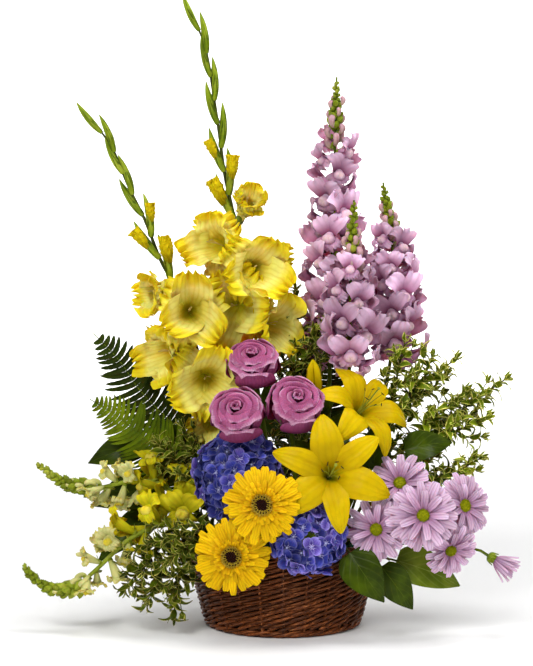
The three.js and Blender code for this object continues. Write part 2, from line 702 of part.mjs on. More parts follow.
// A fern frond: one thin arched blade, cut to its rib into paired leaflets, on its stalk.
function frond({ path, from, pairs, reach, facing }) {
  const curve = new THREE.CatmullRomCurve3(path);
  const end = 0.985;
  const rib = 1.5;
  const sweep = 0.5; // how far a leaflet leans towards the tip, as a share of its length
  const rootShare = 0.7; // of the spacing that a leaflet's root takes
  const points = [];
  const faces = [];
  const station = (t) => {
    const at = curve.getPointAt(t);
    const along = curve.getTangentAt(t);
    const side = new THREE.Vector3().crossVectors(along, facing).normalize();
    return { at, along, side, up: new THREE.Vector3().crossVectors(side, along) };
  };
  for (let i = 0; i < pairs; i++) {
    const t = mix(from, end, i / pairs);
    const [start, stop] = [station(t), station(t + ((end - from) / pairs) * rootShare)];
    const length = reach * Math.sin(Math.PI * mix(0.3, end, (i + 0.5) / pairs)) ** 0.8 + 2;
    const l0 = points.length;
    const [r0, l1, r1] = [l0 + 1, l0 + 2, l0 + 3];
    for (const { at, side } of [start, stop])
      for (const hand of [1, -1]) points.push(at.clone().addScaledVector(side, hand * rib));
    for (const hand of [1, -1]) {
      const tip = start.at.clone().addScaledVector(start.along, length * sweep);
      points.push(tip.addScaledVector(start.side, hand * length).addScaledVector(start.up, -length * 0.14));
    }
    if (i > 0) faces.push([l0 - 4, l0 - 3, l0], [l0 - 3, r0, l0]);
    faces.push([l0, r0, l1], [r0, r1, l1], [l0, l1, l0 + 4], [r0, l0 + 5, r1]);
  }
  const stalk = Array.from({ length: 5 }, (_, k) => curve.getPointAt(((from + 0.02) * k) / 4));
  return [sheet(points, faces, 1.1), stem(spine(stalk, 4), () => 1.8)];
}

// A woody sprig carrying broad leaves.
function broadSprig({ path, leaves }) {
  const line = spine(path, 6);
  const shapes = leaves.map((leaf) => broadLeaf(line.at(leaf.on), leaf));
  return [stem(line, (t) => mix(2.4, 1.4, t)), ...shapes];
}

// Turns a strip of a twig's skin into a folded leaf. The strip's corners a, b run along one
// ring of the twig and d, c along the next one up.
function leafFromStrip(points, [a, b, c, d], length, along) {
  const seat = [a, b, c, d].reduce((sum, i) => sum.add(points[i]), v3(0, 0, 0)).divideScalar(4);
  const side = points[b].clone().sub(points[a]).normalize();
  const out = new THREE.Vector3().crossVectors(side, along);
  const blade = out.multiplyScalar(length * 0.86).addScaledVector(along, length * 0.5);
  const lift = new THREE.Vector3().crossVectors(side, blade).setLength(-2);
  const middle = seat.clone().addScaledVector(blade, 0.5).add(lift);
  const [left, right, tip] = [points.length, points.length + 1, points.length + 2];
  points.push(middle.clone().addScaledVector(side, -length * 0.24));
  points.push(middle.clone().addScaledVector(side, length * 0.24));
  points.push(seat.clone().add(blade));
  return [[d, left, right], [d, right, c], [left, tip, right], [a, b, tip],
    [a, tip, left], [b, right, tip], [a, left, d], [b, c, right]];
}

// A twig with whorls of three small leaves, each whorl turned against the last.
function leafyTwig(path, { whorls, from, leaf }, random) {
  const line = spine(path, 6);
  const points = [];
  const faces = [[0, 2, 1]];
  const halfGap = 1.1; // from a whorl's middle to the rings that its leaves grow from
  const total = line.curve.getLength();
  const centres = [];
  const side = v3(1, 0, 0); // carried along the twig, so that its rings don't twist unasked
  const addRing = (t, turn) => {
    const along = line.along(t);
    side.addScaledVector(along, -side.dot(along)).normalize();
    const across = new THREE.Vector3().crossVectors(along, side);
    centres.push(line.curve.getPointAt(t));
    const frame = new THREE.Matrix4().makeBasis(side, across, along).setPosition(centres.at(-1));
    frame.multiply(new THREE.Matrix4().makeRotationZ(turn));
    points.push(...ring(3, () => [mix(1.8, 1.2, t), 0]).map((p) => p.applyMatrix4(frame)));
    return points.length - 3;
  };
  const strips = (low, high) =>
    [0, 1, 2].map((k) => [low + k, low + ((k + 1) % 3), high + ((k + 1) % 3), high + k]);
  const plain = (low, high) => strips(low, high).flatMap(([a, b, c, d]) => [[a, b, d], [b, c, d]]);
  let last = addRing(0, 0);
  for (const t of [from * 0.35, from * 0.7]) {
    const next = addRing(t, 0);
    faces.push(...plain(last, next));
    last = next;
  }
  for (let k = 0; k < whorls; k++) {
    const t = mix(from, 0.96, k / (whorls - 1));
    const turn = k * (Math.PI / 3) + 0.3 * random();
    const low = addRing(t - halfGap / total, turn);
    const high = addRing(t + halfGap / total, turn);
    faces.push(...plain(last, low));
    for (const strip of strips(low, high)) {
      const length = leaf * mix(1.1, 0.75, t) * mix(0.8, 1.15, random());
      faces.push(...leafFromStrip(points, strip, length, line.along(t)));
    }
    last = high;
  }
  points.push(line.at(1).addScaledVector(line.along(1), leaf * 0.4));
  for (const k of [0, 1, 2]) faces.push([last + k, last + ((k + 1) % 3), points.length - 1]);
  return { points, faces, centres };
}

// A spray: one main twig and others that fork from the bare stretches between its whorls.
function leafySpray({ twigs: [main, ...others], whorls, from, leaf, seed }) {
  const random = seeded(seed);
  const trunk = leafyTwig(main, { whorls, from, leaf }, random);
  const forks = trunk.centres.slice(1).map((p, i) => p.clone().lerp(trunk.centres[i], 0.5));
  const bare = forks.filter((p, i) => p.distanceTo(trunk.centres[i]) > leaf * 0.2);
  const nearer = (p, q, goal) => (p.distanceTo(goal) < q.distanceTo(goal) ? p : q);
  const branches = others.map(([start, ...rest]) => {
    const fork = bare.reduce((best, p) => nearer(p, best, start));
    return leafyTwig([fork, ...rest], { whorls: whorls - 1, from: 0.25, leaf }, random);
  });
  return [trunk, ...branches];
}

// ---------------------------------------------------------------- where everything stands
const through = (...points) => points.map(([x, y, z]) => v3(x, y, z));

const GLADIOLI = {
  left: {
    path: through([-30, 12, STEM_DEPTH], [-44, 12, 119], [-71, 22, 224], [-97, 28, 306], [-125, 30, 388],
      [-144, 32, 425], [-161, 34, 469], [-181, 36, 510], [-199, 38, 553], [-221, 40, 584]),
    buds: 7, spacing: 27, length: 54,
    florets: [
      { seat: v3(-124, 27, 383), mouth: v3(-150, -6, 385), radius: 28, spin: 0.2, open: 0.8 },
      { seat: v3(-117, 25, 362), mouth: v3(-103, -44, 368), radius: 42, spin: 0.5 },
      { seat: v3(-103, 24, 322), mouth: v3(-138, -12, 316), radius: 34, spin: 0.1 },
      { seat: v3(-94, 24, 294), mouth: v3(-86, -38, 288), radius: 38, spin: 0.4 },
      { seat: v3(-77, 20, 246), mouth: v3(-84, -18, 235), radius: 28, spin: 0 },
    ],
  },
  right: {
    path: through([-12, 20, STEM_DEPTH], [-24, 20, 117], [-31, 30, 223], [-43, 40, 340], [-52, 45, 434],
      [-58, 48, 475], [-68, 50, 522], [-75, 52, 574], [-82, 54, 621], [-90, 56, 668], [-104, 59, 706]),
    buds: 8, spacing: 28, length: 56,
    florets: [
      { seat: v3(-57, 44, 462), mouth: v3(-38, 14, 492), radius: 24, spin: 0.3, open: 0.45 },
      { seat: v3(-53, 41, 436), mouth: v3(-82, -2, 443), radius: 36, spin: 0.6 },
      { seat: v3(-50, 40, 412), mouth: v3(-30, -24, 414), radius: 42, spin: 0.2 },
      { seat: v3(-47, 38, 374), mouth: v3(-58, -6, 369), radius: 34, spin: 0.5 },
      { seat: v3(-44, 36, 352), mouth: v3(-8, 0, 348), radius: 33, spin: 0.3 },
    ],
  },
};

const SNAPDRAGONS = {
  tall: {
    path: through([28, 30, STEM_DEPTH], [50, 38, 180], [56, 38, 316], [59, 42, 457], [63, 45, 636]),
    from: 0.45, to: 0.85, florets: 16, size: 29, buds: 8,
  },
  middle: {
    path: through([46, -6, STEM_DEPTH], [69, -18, 200], [77, -24, 316], [77, -24, 380], [81, -24, 494]),
    from: 0.58, to: 0.84, florets: 11, size: 26, buds: 7,
  },
  right: {
    path: through([54, 28, STEM_DEPTH], [104, 36, 200], [130, 42, 328], [130, 45, 422], [118, 50, 513]),
    from: 0.58, to: 0.88, florets: 12, size: 27, buds: 7,
  },
};

const YELLOW_SNAPDRAGONS = {
  upper: {
    path: through([-46, -14, STEM_DEPTH + 6], [-119, -30, 151], [-147, -30, 169], [-179, -30, 170],
      [-217, -30, 163], [-252, -30, 170], [-284, -30, 191]),
    from: 0.36, to: 0.76, florets: 8, buds: 9, size: 21,
  },
  lower: {
    path: through([-50, -36, STEM_DEPTH + 8], [-107, -42, 133], [-152, -52, 119], [-177, -58, 107],
      [-215, -60, 72], [-240, -60, 52], [-261, -60, 50], [-282, -60, 61], [-297, -60, 79]),
    from: 0.3, to: 0.74, florets: 7, buds: 9, size: 21,
  },
};

const ROSES = {
  top: {
    at: v3(-35, -58, 313), facing: v3(-0.12, -0.58, 0.8), radius: 33,
    entry: v3(-6, -20, STEM_DEPTH), via: v3(-18, -16, 200),
  },
  left: {
    at: v3(-52, -94, 258), facing: v3(-0.15, -0.75, 0.65), radius: 33,
    entry: v3(-24, -28, STEM_DEPTH), via: v3(-34, -24, 200),
  },
  right: {
    at: v3(14, -84, 268), facing: v3(0.12, -0.74, 0.66), radius: 35,
    entry: v3(12, -34, STEM_DEPTH), via: v3(14, -36, 180),
  },
};

const HYDRANGEAS = {
  upper: {
    at: v3(-53, -69, 184), facing: v3(-0.3, -0.9, 0.3), radius: 52, deep: 30, florets: 18,
    neck: v3(-36, -36, STEM_DEPTH + 6),
  },
  lower: {
    at: v3(27, -118, 122), facing: v3(0.12, -0.94, 0.3), radius: 44, deep: 22, florets: 14,
    neck: v3(18, -52, STEM_DEPTH + 8),
  },
};

const GERBERA_RAYS = { rays: 18, notch: 0.52, inner: 0.62, lift: 6, droop: 3 };
const GERBERAS = {
  upper: {
    at: v3(-24, -140, 161), facing: v3(-0.02, -1, 0.12), radius: 44, disc: 13, depth: 3,
    entry: v3(-14, -48, STEM_DEPTH + 6), via: v3(-20, -92, 134),
  },
  lower: {
    at: v3(-57, -127, 101), facing: v3(-0.12, -1, 0.05), radius: 44, disc: 13, depth: 3,
    entry: v3(-38, -56, STEM_DEPTH + 8), via: v3(-46, -94, 119),
  },
};

const LILIES = {
  front: {
    at: v3(53, -122, 194), facing: v3(0.05, -0.95, 0.3), radius: 68,
    spin: 0.14, throatDepth: 34, curl: 0.5,
  },
  side: {
    at: v3(94, -61, 263), facing: v3(0.45, -0.62, 0.62), radius: 60,
    spin: 0.1, throatDepth: 34, curl: 0.8,
  },
  bud: { root: v3(37, -34, 268), tip: v3(34, -36, 312) },
  entry: v3(32, -40, STEM_DEPTH),
  via: v3(40, -42, 120),
  hub: v3(46, -44, 170),
};

const DAISY_RAYS = { rays: 12, notch: 0.4, inner: 0.86, lift: 4, droop: 2 };
const DAISY_BUD_RAYS = { rays: 6, notch: 0.6, inner: 0.76, lift: 11, droop: -8 };
const DAISIES = {
  left: { at: v3(104, -113, 129), facing: v3(-0.2, -0.97, 0.1), radius: 37, disc: 8, depth: 2.4 },
  middle: { at: v3(154, -134, 148), facing: v3(0.05, -0.97, 0.2), radius: 41, disc: 8, depth: 2.4 },
  back: { at: v3(131, -92, 177), facing: v3(-0.1, -0.85, 0.5), radius: 38, disc: 8, depth: 2.4 },
  right: { at: v3(202, -98, 153), facing: v3(0.5, -0.82, 0.2), radius: 37, disc: 8, depth: 2.4 },
  low: { at: v3(186, -114, 106), facing: v3(0.2, -0.94, -0.2), radius: 32, disc: 7, depth: 2.4 },
};
const DAISY_BUD = { at: v3(236, -81, 91), facing: v3(0.85, -0.2, -0.5), radius: 17, disc: 4, depth: 4 };
const DAISY_STEMS = { entry: v3(58, -40, STEM_DEPTH + 4), hub: v3(96, -70, 118) };

const FRONDS = {
  fern_dark: {
    path: through([-16, 34, STEM_DEPTH], [-60, 34, 150], [-103, 28, 202], [-148, 26, 249],
      [-170, 27, 273], [-191, 29, 304], [-222, 30, 337]),
    from: 0.4, pairs: 12, reach: 44, facing: v3(0, -1, 0.15),
  },
  fern_light: {
    path: through([-44, 4, STEM_DEPTH + 8], [-80, -4, 140], [-112, -8, 182], [-149, -8, 208],
      [-167, -8, 223], [-193, -6, 244], [-224, -4, 263]),
    from: 0.42, pairs: 11, reach: 38, facing: v3(-0.1, -1, 0.1),
  },
  fern_back: {
    path: through([20, 62, STEM_DEPTH], [34, 92, 170], [44, 104, 260], [66, 100, 345]),
    from: 0.24, pairs: 11, reach: 46, facing: v3(0.1, 1, 0.2),
  },
};

const BROAD_SPRIGS = {
  salal_left: {
    path: through([-44, 24, STEM_DEPTH + 8], [-96, 16, 140], [-130, 14, 176], [-150, 16, 206]),
    leaves: [
      { on: 0.97, root: v3(-160, 16, 212), tip: v3(-228, 12, 186), up: v3(0.1, -0.95, 0.3), width: 38 },
      { on: 0.75, root: v3(-146, 8, 160), tip: v3(-224, 0, 138), up: v3(0, -0.9, 0.45), width: 48 },
      { on: 0.55, root: v3(-150, -2, 130), tip: v3(-214, -22, 76), up: v3(0, -0.85, 0.5), width: 38 },
      { on: 0.6, root: v3(-108, 14, 196), tip: v3(-150, 16, 240), up: v3(0, -1, 0), width: 34 },
    ],
  },
  salal_upper_right: {
    path: through([62, -16, STEM_DEPTH + 8], [96, -24, 150], [120, -26, 190], [134, -24, 204]),
    leaves: [
      { on: 0.97, root: v3(140, -24, 206), tip: v3(196, -14, 214), up: v3(0, -0.9, 0.4), width: 36 },
      { on: 0.8, root: v3(104, -36, 186), tip: v3(112, -44, 246), up: v3(-0.2, -1, 0.2), width: 40 },
    ],
  },
  salal_lower_right: {
    path: through([54, -56, STEM_DEPTH + 8], [74, -90, 114], [96, -96, 104], [120, -88, 90]),
    leaves: [
      { on: 0.35, root: v3(74, -112, 102), tip: v3(112, -122, 48), up: v3(-0.2, -0.95, 0.35), width: 46 },
      { on: 0.7, root: v3(110, -98, 84), tip: v3(146, -94, 34), up: v3(0, -0.95, 0.3), width: 38 },
      { on: 0.97, root: v3(128, -82, 88), tip: v3(202, -66, 56), up: v3(0, -0.9, 0.5), width: 46 },
    ],
  },
  salal_back: {
    path: through([0, 66, STEM_DEPTH + 10], [4, 100, 122], [0, 112, 160], [-6, 112, 200]),
    leaves: [
      { on: 0.98, root: v3(-6, 116, 204), tip: v3(-14, 122, 280), up: v3(0, 1, 0.2), width: 46 },
      { on: 0.5, root: v3(-26, 118, 150), tip: v3(-92, 128, 176), up: v3(0, 0.95, 0.3), width: 46 },
      { on: 0.6, root: v3(26, 118, 156), tip: v3(92, 122, 186), up: v3(0, 0.95, 0.3), width: 46 },
      { on: 0.25, root: v3(-24, 118, 110), tip: v3(-84, 124, 76), up: v3(0, 0.95, 0.4), width: 44 },
      { on: 0.25, root: v3(32, 118, 110), tip: v3(88, 122, 78), up: v3(0, 0.95, 0.4), width: 44 },
    ],
  },
};

const LEAFY_SPRAYS = {
  variegated_centre: {
    twigs: [
      through([8, 48, STEM_DEPTH], [8, 44, 200], [10, 30, 300], [16, 20, 390]),
      through([12, 38, 270], [30, 14, 310], [44, 6, 352]),
      through([8, 40, 230], [20, 10, 285], [32, -8, 322]),
    ],
    whorls: 4, from: 0.42, leaf: 23, seed: 11,
  },
  variegated_upper_right: {
    twigs: [
      through([66, 22, STEM_DEPTH + 6], [104, 14, 190], [150, 12, 262], [202, 10, 310]),
      through([110, 14, 200], [128, -6, 270], [141, -8, 331]),
      through([140, 12, 250], [160, 0, 280], [174, 2, 312]),
    ],
    whorls: 4, from: 0.4, leaf: 23, seed: 23,
  },
  variegated_lower_right: {
    twigs: [
      through([74, 8, STEM_DEPTH + 6], [124, 10, 160], [190, 14, 232], [260, 12, 285]),
      through([160, 12, 200], [206, 4, 226], [238, 0, 243]),
      through([130, 10, 168], [186, -6, 172], [228, -20, 196]),
      through([150, 12, 190], [176, 14, 236], [214, 10, 272]),
    ],
    whorls: 4, from: 0.38, leaf: 23, seed: 37,
  },
  variegated_upper_left: {
    twigs: [
      through([-36, -4, STEM_DEPTH + 4], [-78, -24, 150], [-100, -30, 200], [-116, -30, 236]),
      through([-84, -25, 160], [-118, -34, 188], [-142, -36, 216]),
    ],
    whorls: 4, from: 0.42, leaf: 21, seed: 53,
  },
  variegated_lower_left: {
    twigs: [
      through([-38, -46, STEM_DEPTH + 8], [-84, -82, 122], [-112, -84, 84], [-125, -72, 22]),
      through([-88, -84, 120], [-130, -88, 92], [-156, -74, 36]),
      through([-86, -84, 122], [-132, -80, 112], [-180, -78, 54]),
    ],
    whorls: 4, from: 0.4, leaf: 22, seed: 71,
  },
};

// ---------------------------------------------------------------- putting it together
// First the basket, then all that carries something, then blooms, leaves and what holds them.
add("basket_body", COLOURS.wicker, [basketBody()], 0.7);
add("basket_rim", COLOURS.wickerBorder, [twistedRing(RIM)]);
add("basket_foot", COLOURS.wickerBorder, [twistedRing(FOOT)]);

for (const [side, spike] of Object.entries(GLADIOLI))
  add(`gladiolus_${side}_stem`, COLOURS.stem, gladiolusSpike(spine(spike.path, 10), spike));
for (const [side, spike] of Object.entries(SNAPDRAGONS))
  add(`snapdragon_${side}_stem`, COLOURS.stem, snapStem(spike));
for (const [side, bloom] of Object.entries(ROSES))
  add(`rose_${side}_stem`, COLOURS.stem, roseStem(bloom));
for (const [side, bloom] of Object.entries(GERBERAS))
  add(`gerbera_${side}_stem`, COLOURS.stem, [bloomStem(bloom, 26, bloom.depth + END_GAP, 3)]);
add("lily_stem", COLOURS.stem, lilyStem(LILIES));
add("lily_bud", COLOURS.lily, [lilyBud(LILIES.bud)]);
add("daisy_stems", COLOURS.stem, daisyStems(DAISY_STEMS, [...Object.values(DAISIES), DAISY_BUD]));

for (const [side, bloom] of Object.entries(ROSES)) add(`rose_${side}`, COLOURS.rose, rose(bloom));
for (const [side, bloom] of Object.entries(GERBERAS))
  add(`gerbera_${side}`, COLOURS.gerbera, rayBloom(bloom, GERBERA_RAYS));
add("lily_front", COLOURS.lily, lily(LILIES.front));
add("lily_side", COLOURS.lily, lily(LILIES.side));
for (const side of ["middle", "left", "right", "low", "back"])
  add(`daisy_${side}`, COLOURS.daisy, rayBloom(DAISIES[side], DAISY_RAYS));
add("daisy_bud", COLOURS.daisy, rayBloom(DAISY_BUD, DAISY_BUD_RAYS));
for (const [side, head] of Object.entries(SNAPDRAGONS))
  add(`snapdragon_${side}_florets`, COLOURS.lavender, snapHead(head));
for (const [side, { path, florets }] of Object.entries(GLADIOLI)) {
  const line = spine(path, 10);
  florets.forEach((floret, k) =>
    add(`gladiolus_${side}_floret_${k + 1}`, COLOURS.gladiolus, gladiolusFloret(line, floret)));
}
for (const [side, head] of Object.entries(HYDRANGEAS))
  add(`hydrangea_${side}`, COLOURS.hydrangea, hydrangeaHead(head));
for (const [side, spike] of Object.entries(YELLOW_SNAPDRAGONS))
  add(`yellow_snapdragon_${side}`, COLOURS.cream, openSpike(spike));
for (const [name, shape] of Object.entries(FRONDS)) add(name, COLOURS.fern, frond(shape));
for (const [name, sprig] of Object.entries(BROAD_SPRIGS)) add(name, COLOURS.salal, broadSprig(sprig));
for (const [name, spray] of Object.entries(LEAFY_SPRAYS)) add(name, COLOURS.variegated, leafySpray(spray));
add("liner", COLOURS.liner, [linerCup()], 0.5);
add("floral_foam", COLOURS.foam, [foamBlock()], 0.95);

export default arrangement;
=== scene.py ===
"""A one-sided flower arrangement in a wicker basket. Shapes are written in millimetres, in the
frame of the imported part, and become metres when a piece is made. The flowers face -Y."""
import math
import random

import bpy
import numpy as np
from mathutils import Matrix


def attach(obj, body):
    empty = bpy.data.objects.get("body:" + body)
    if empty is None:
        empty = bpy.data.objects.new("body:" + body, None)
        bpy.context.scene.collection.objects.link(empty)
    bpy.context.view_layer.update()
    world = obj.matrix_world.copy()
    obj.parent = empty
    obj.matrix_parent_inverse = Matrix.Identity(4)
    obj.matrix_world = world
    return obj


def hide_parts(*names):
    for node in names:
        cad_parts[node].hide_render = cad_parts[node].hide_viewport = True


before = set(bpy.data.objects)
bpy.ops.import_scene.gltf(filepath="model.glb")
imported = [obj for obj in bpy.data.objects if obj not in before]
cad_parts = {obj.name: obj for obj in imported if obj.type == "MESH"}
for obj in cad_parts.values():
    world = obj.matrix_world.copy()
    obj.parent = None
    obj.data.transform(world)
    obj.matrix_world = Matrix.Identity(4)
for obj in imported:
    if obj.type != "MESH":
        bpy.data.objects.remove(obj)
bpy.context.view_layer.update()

MM = 0.001
TAU = 2 * math.pi
GOLDEN = math.radians(137.508)
CREASE = math.radians(55)  # faces that meet at more than this are shaded apart


# ---------------------------------------------------------------- vectors, frames and lines
def vec(*p):
    return np.array(p, float)


def unit(v):
    v = np.asarray(v, float)
    return v / np.linalg.norm(v)


def mix(a, b, t):
    return a + (b - a) * t


def ring(radius, angle, z=0.0):
    """A point at an angle round the Z axis."""
    return vec(radius * math.cos(angle), radius * math.sin(angle), z)


def frame_at(at, facing, spin=0.0):
    """A 4x4 frame at a point, its Z along facing, turned by spin about it. Its Y points upwards."""
    z = unit(facing)
    hint = vec(0, 1, 0) if abs(z[2]) > 0.95 else vec(0, 0, 1)
    x = unit(np.cross(hint, z))
    y = np.cross(z, x)
    m = np.eye(4)
    m[:3, 0] = math.cos(spin) * x + math.sin(spin) * y
    m[:3, 1] = math.cos(spin) * y - math.sin(spin) * x
    m[:3, 2] = z
    m[:3, 3] = at
    return m


def moved(points, m):
    return points @ m[:3, :3].T + m[:3, 3]


def turned(points, angle):
    c, s = math.cos(angle), math.sin(angle)
    return points @ np.array([[c, -s, 0], [s, c, 0], [0, 0, 1.0]]).T


class Line:
    """A smooth curve through points, read by its length: at(t) and along(t), t from 0 to 1."""

    DENSE = 16  # steps between two of its points

    def __init__(self, points):
        p = np.array(points, float)
        p = np.vstack([2 * p[0] - p[1], p, 2 * p[-1] - p[-2]])
        s = np.linspace(0, 1, self.DENSE, endpoint=False)[:, None]
        rows = []
        for i in range(1, len(p) - 2):
            a, b, c, d = p[i - 1 : i + 3]
            gap = [max(np.linalg.norm(q - r), 1e-6) ** 0.5 for q, r in ((b, a), (c, b), (d, c))]
            t1 = ((b - a) / gap[0] - (c - a) / (gap[0] + gap[1]) + (c - b) / gap[1]) * gap[1]
            t2 = ((c - b) / gap[1] - (d - b) / (gap[1] + gap[2]) + (d - c) / gap[2]) * gap[1]
            rows.append(
                b * (2 * s**3 - 3 * s**2 + 1) + t1 * (s**3 - 2 * s**2 + s)
                + c * (3 * s**2 - 2 * s**3) + t2 * (s**3 - s**2)
            )
        self.p = np.vstack([*rows, p[-2][None]])
        self.s = np.r_[0, np.cumsum(np.linalg.norm(np.diff(self.p, axis=0), axis=1))]
        self.length = self.s[-1]

    def at(self, t):
        x = np.clip(t, 0, 1) * self.length
        return np.stack([np.interp(x, self.s, self.p[:, k]) for k in range(3)], -1)

    def along(self, t):
        step = 0.004
        return unit(self.at(min(t + step, 1)) - self.at(max(t - step, 0)))

    def node(self, t, turn):
        """The place at t, the direction there, and one out of the line, turned about it."""
        at, along = self.at(t), self.along(t)
        return at, along, frame_at(at, along, turn)[:3, 0]

    def nearest(self, point, count=300):
        """The nearest to a point of some places set evenly along the line."""
        places = self.at(np.linspace(0, 1, count))
        return places[np.argmin(np.linalg.norm(places - point, axis=1))]


# ---------------------------------------------------------------- building a mesh
class Build:
    """The points and faces of one piece, with petal coordinates: along, across and a random."""

    def __init__(self):
        self.verts, self.coords, self.faces, self.mats, self.count = [], [], [], [], 0

    def raw(self, points, faces, coords, mat):
        points = np.asarray(points, float).reshape(-1, 3)
        self.verts.append(points)
        self.coords.append(np.asarray(coords, float).reshape(-1, 3))
        self.faces += (np.asarray(faces) + self.count).tolist()
        self.mats += [mat] * len(faces)
        self.count += len(points)

    def grid(self, points, coords, mat, thick=0.0, wrap=False):
        """A grid of quads; with a thickness it is a closed blade, with wrap it closes on itself."""
        nu, nv = points.shape[:2]
        i = np.arange(nu * nv).reshape(nu, nv)
        if wrap:
            i = np.hstack([i, i[:, :1]])
        quads = np.stack([i[:-1, :-1], i[1:, :-1], i[1:, 1:], i[:-1, 1:]], -1).reshape(-1, 4)
        if not thick:
            return self.raw(points, quads, coords, mat)
        n = np.cross(np.gradient(points, axis=0), np.gradient(points, axis=1))
        n /= np.maximum(np.linalg.norm(n, axis=-1, keepdims=True), 1e-9)
        edge = np.r_[i[:-1, 0], i[-1, :-1], i[:0:-1, -1], i[0, :0:-1]]
        onward = np.roll(edge, -1)
        k = nu * nv
        rim = np.stack([onward, edge, edge + k, onward + k], -1)
        both = np.stack([points + n * thick / 2, points - n * thick / 2])
        self.raw(both, np.vstack([quads, quads[:, ::-1] + k, rim]), np.stack([coords, coords]), mat)

    def piece(self, name, materials, node):
        """Makes the object, which rides on the part's one body and stands for the node. materials
        are the names of its looks, in the order of their numbers in the faces."""
        mesh = bpy.data.meshes.new(name)
        mesh.from_pydata((np.vstack(self.verts) * MM).tolist(), [], self.faces)
        mesh.attributes.new("petal", "FLOAT_VECTOR", "POINT").data.foreach_set(
            "vector", np.vstack(self.coords).ravel()
        )
        mesh.polygons.foreach_set("material_index", self.mats)
        mesh.polygons.foreach_set("use_smooth", [True] * len(self.faces))
        mesh.set_sharp_from_angle(angle=CREASE)
        for key in materials.split():
            mesh.materials.append(MAT[key])
        obj = bpy.data.objects.new(name, mesh)
        bpy.context.scene.collection.objects.link(obj)
        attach(obj, "root")
        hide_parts(node)


def uv_grid(nu, nv, chance):
    """How far along and across each point of a grid lies, and its petal coordinates."""
    u, v = np.meshgrid(np.linspace(0, 1, nu), np.linspace(-1, 1, nv), indexing="ij")
    return u, v, np.stack([u, v * 0.5 + 0.5, np.full_like(u, chance)], -1)


def blade(mid, width, nu, nv, ends, root=0.12, *, chance, cup=0.0, groove=0.0, ruffle=0.0, waves=3.0,
          phase=0.0, frill=0.0, pleat=0.0, sway=0.0):
    """A petal of nu by nv points from its midline, a list of (distance from the axis, height). It
    points along +X. ends shape its outline towards the root and the tip; cup lifts its edges; groove
    sinks its midrib; ruffle waves its margin and frill crimps it; pleat folds it lengthwise; sway
    bends it to one side."""
    u, v, coords = uv_grid(nu, nv, chance)
    t = u[:, 0]
    line = Line([(r, 0, z) for r, z in mid])
    centre = line.at(t)
    tangent = np.gradient(centre, axis=0)
    tangent /= np.linalg.norm(tangent, axis=1, keepdims=True)
    normal = np.stack([-tangent[:, 2], np.zeros(nu), tangent[:, 0]], -1)
    outline = (t + root) ** ends[0] * (1.02 - t) ** ends[1]
    half = (width / 2 * outline / outline.max())[:, None]
    away = np.abs(v)
    height = cup * away**2 * half - groove * np.exp(-((v / 0.3) ** 2)) * np.sin(math.pi * u**0.7)
    height += ruffle * away**1.6 * u * np.sin(TAU * waves * u + phase + 2.1 * (v > 0))
    height += ruffle * u**5 * (1 - away**3) * np.sin(TAU * 0.6 * waves * v + 2 * phase)
    height += frill * away**5 * u * np.sin(TAU * 8 * u + 3 * phase)
    height += frill * u**9 * (1 - away**5) * np.sin(TAU * 4.5 * v + phase)
    height += pleat * u * np.sin(TAU * 3.5 * v + 0.8 * np.sin(4 * u + phase))
    points = centre[:, None] + normal[:, None] * height[..., None]
    points[..., 1] += v * half + sway * u**2 * width
    return points, coords


def lay(b, petal, m, angle, mat=0, thick=0.45):
    """Turns a petal about its bloom's axis and adds it to the piece."""
    points, coords = petal
    b.grid(moved(turned(points, angle), m), coords, mat, thick)


def lathe(b, m, profile, sides, mat, chance=0.5):
    """A closed turned form from a profile of (radius, height)."""
    _, v, coords = uv_grid(len(profile), sides, chance)
    a = (v * 0.5 + 0.5) * TAU * (sides - 1) / sides
    r = np.array([p[0] for p in profile])[:, None]
    z = np.array([p[1] for p in profile])[:, None] + 0 * a
    points = np.stack([r * np.cos(a), -r * np.sin(a), z], -1)
    b.grid(moved(points, m), coords, mat, wrap=True)


def tube(b, line, radius, sides, steps, mat, chance=0.5):
    """A stem along a line, closed at both ends. Its radius is a number, a pair from its foot to its
    tip, or a function of the share of its length."""
    if not isinstance(line, Line):
        line = Line(line)
    ends = radius if isinstance(radius, tuple) else (radius, radius)
    t = np.linspace(0, 1, steps)
    centre = line.at(t)
    tangent = np.gradient(centre, axis=0)
    tangent /= np.linalg.norm(tangent, axis=1, keepdims=True)
    x = unit(np.cross(tangent[0], vec(0.3, -0.9, 0.2)))
    a = np.linspace(0, TAU, sides, endpoint=False)
    rows = []
    for k in range(steps):
        x = unit(x - tangent[k] * np.dot(x, tangent[k]))
        y = np.cross(tangent[k], x)
        r = radius(t[k]) if callable(radius) else mix(*ends, t[k])
        rows.append(centre[k] + r * (np.cos(a)[:, None] * x + np.sin(a)[:, None] * y))
    rows = [np.repeat(centre[:1], sides, 0), *rows, np.repeat(centre[-1:], sides, 0)]
    points = np.array(rows)[:, ::-1]
    coords = uv_grid(steps + 2, sides, chance)[2]
    b.grid(points, coords, mat, wrap=True)


def leaf(b, root, tip, up, width, mat, nu, nv, droop, wave, *, chance, waves=2.0, fold=0.25,
         ends=(0.75, 0.8), thick=0.5, curl=0.0):
    """A leaf of nu by nv points from root to tip, its face towards up. It is arched by droop, folded
    along its midrib, waved at its margin and rolled back or forth by curl."""
    u, v, coords = uv_grid(nu, nv, chance)
    along = np.asarray(tip, float) - root
    side = unit(np.cross(up, along))
    lift = unit(np.cross(along, side))
    outline = (u + 0.05) ** ends[0] * (1.01 - u) ** ends[1]
    half = width / 2 * outline / outline.max()
    away = np.abs(v)
    height = droop * np.sin(u * math.pi) + fold * away * half + curl * u**2 * width
    height = height + wave * away**1.5 * np.sin(TAU * waves * u + chance * 9 + 2 * (v > 0))
    points = root + along * u[..., None] + side * (v * half)[..., None] + lift * height[..., None]
    b.grid(points, coords, mat, thick)


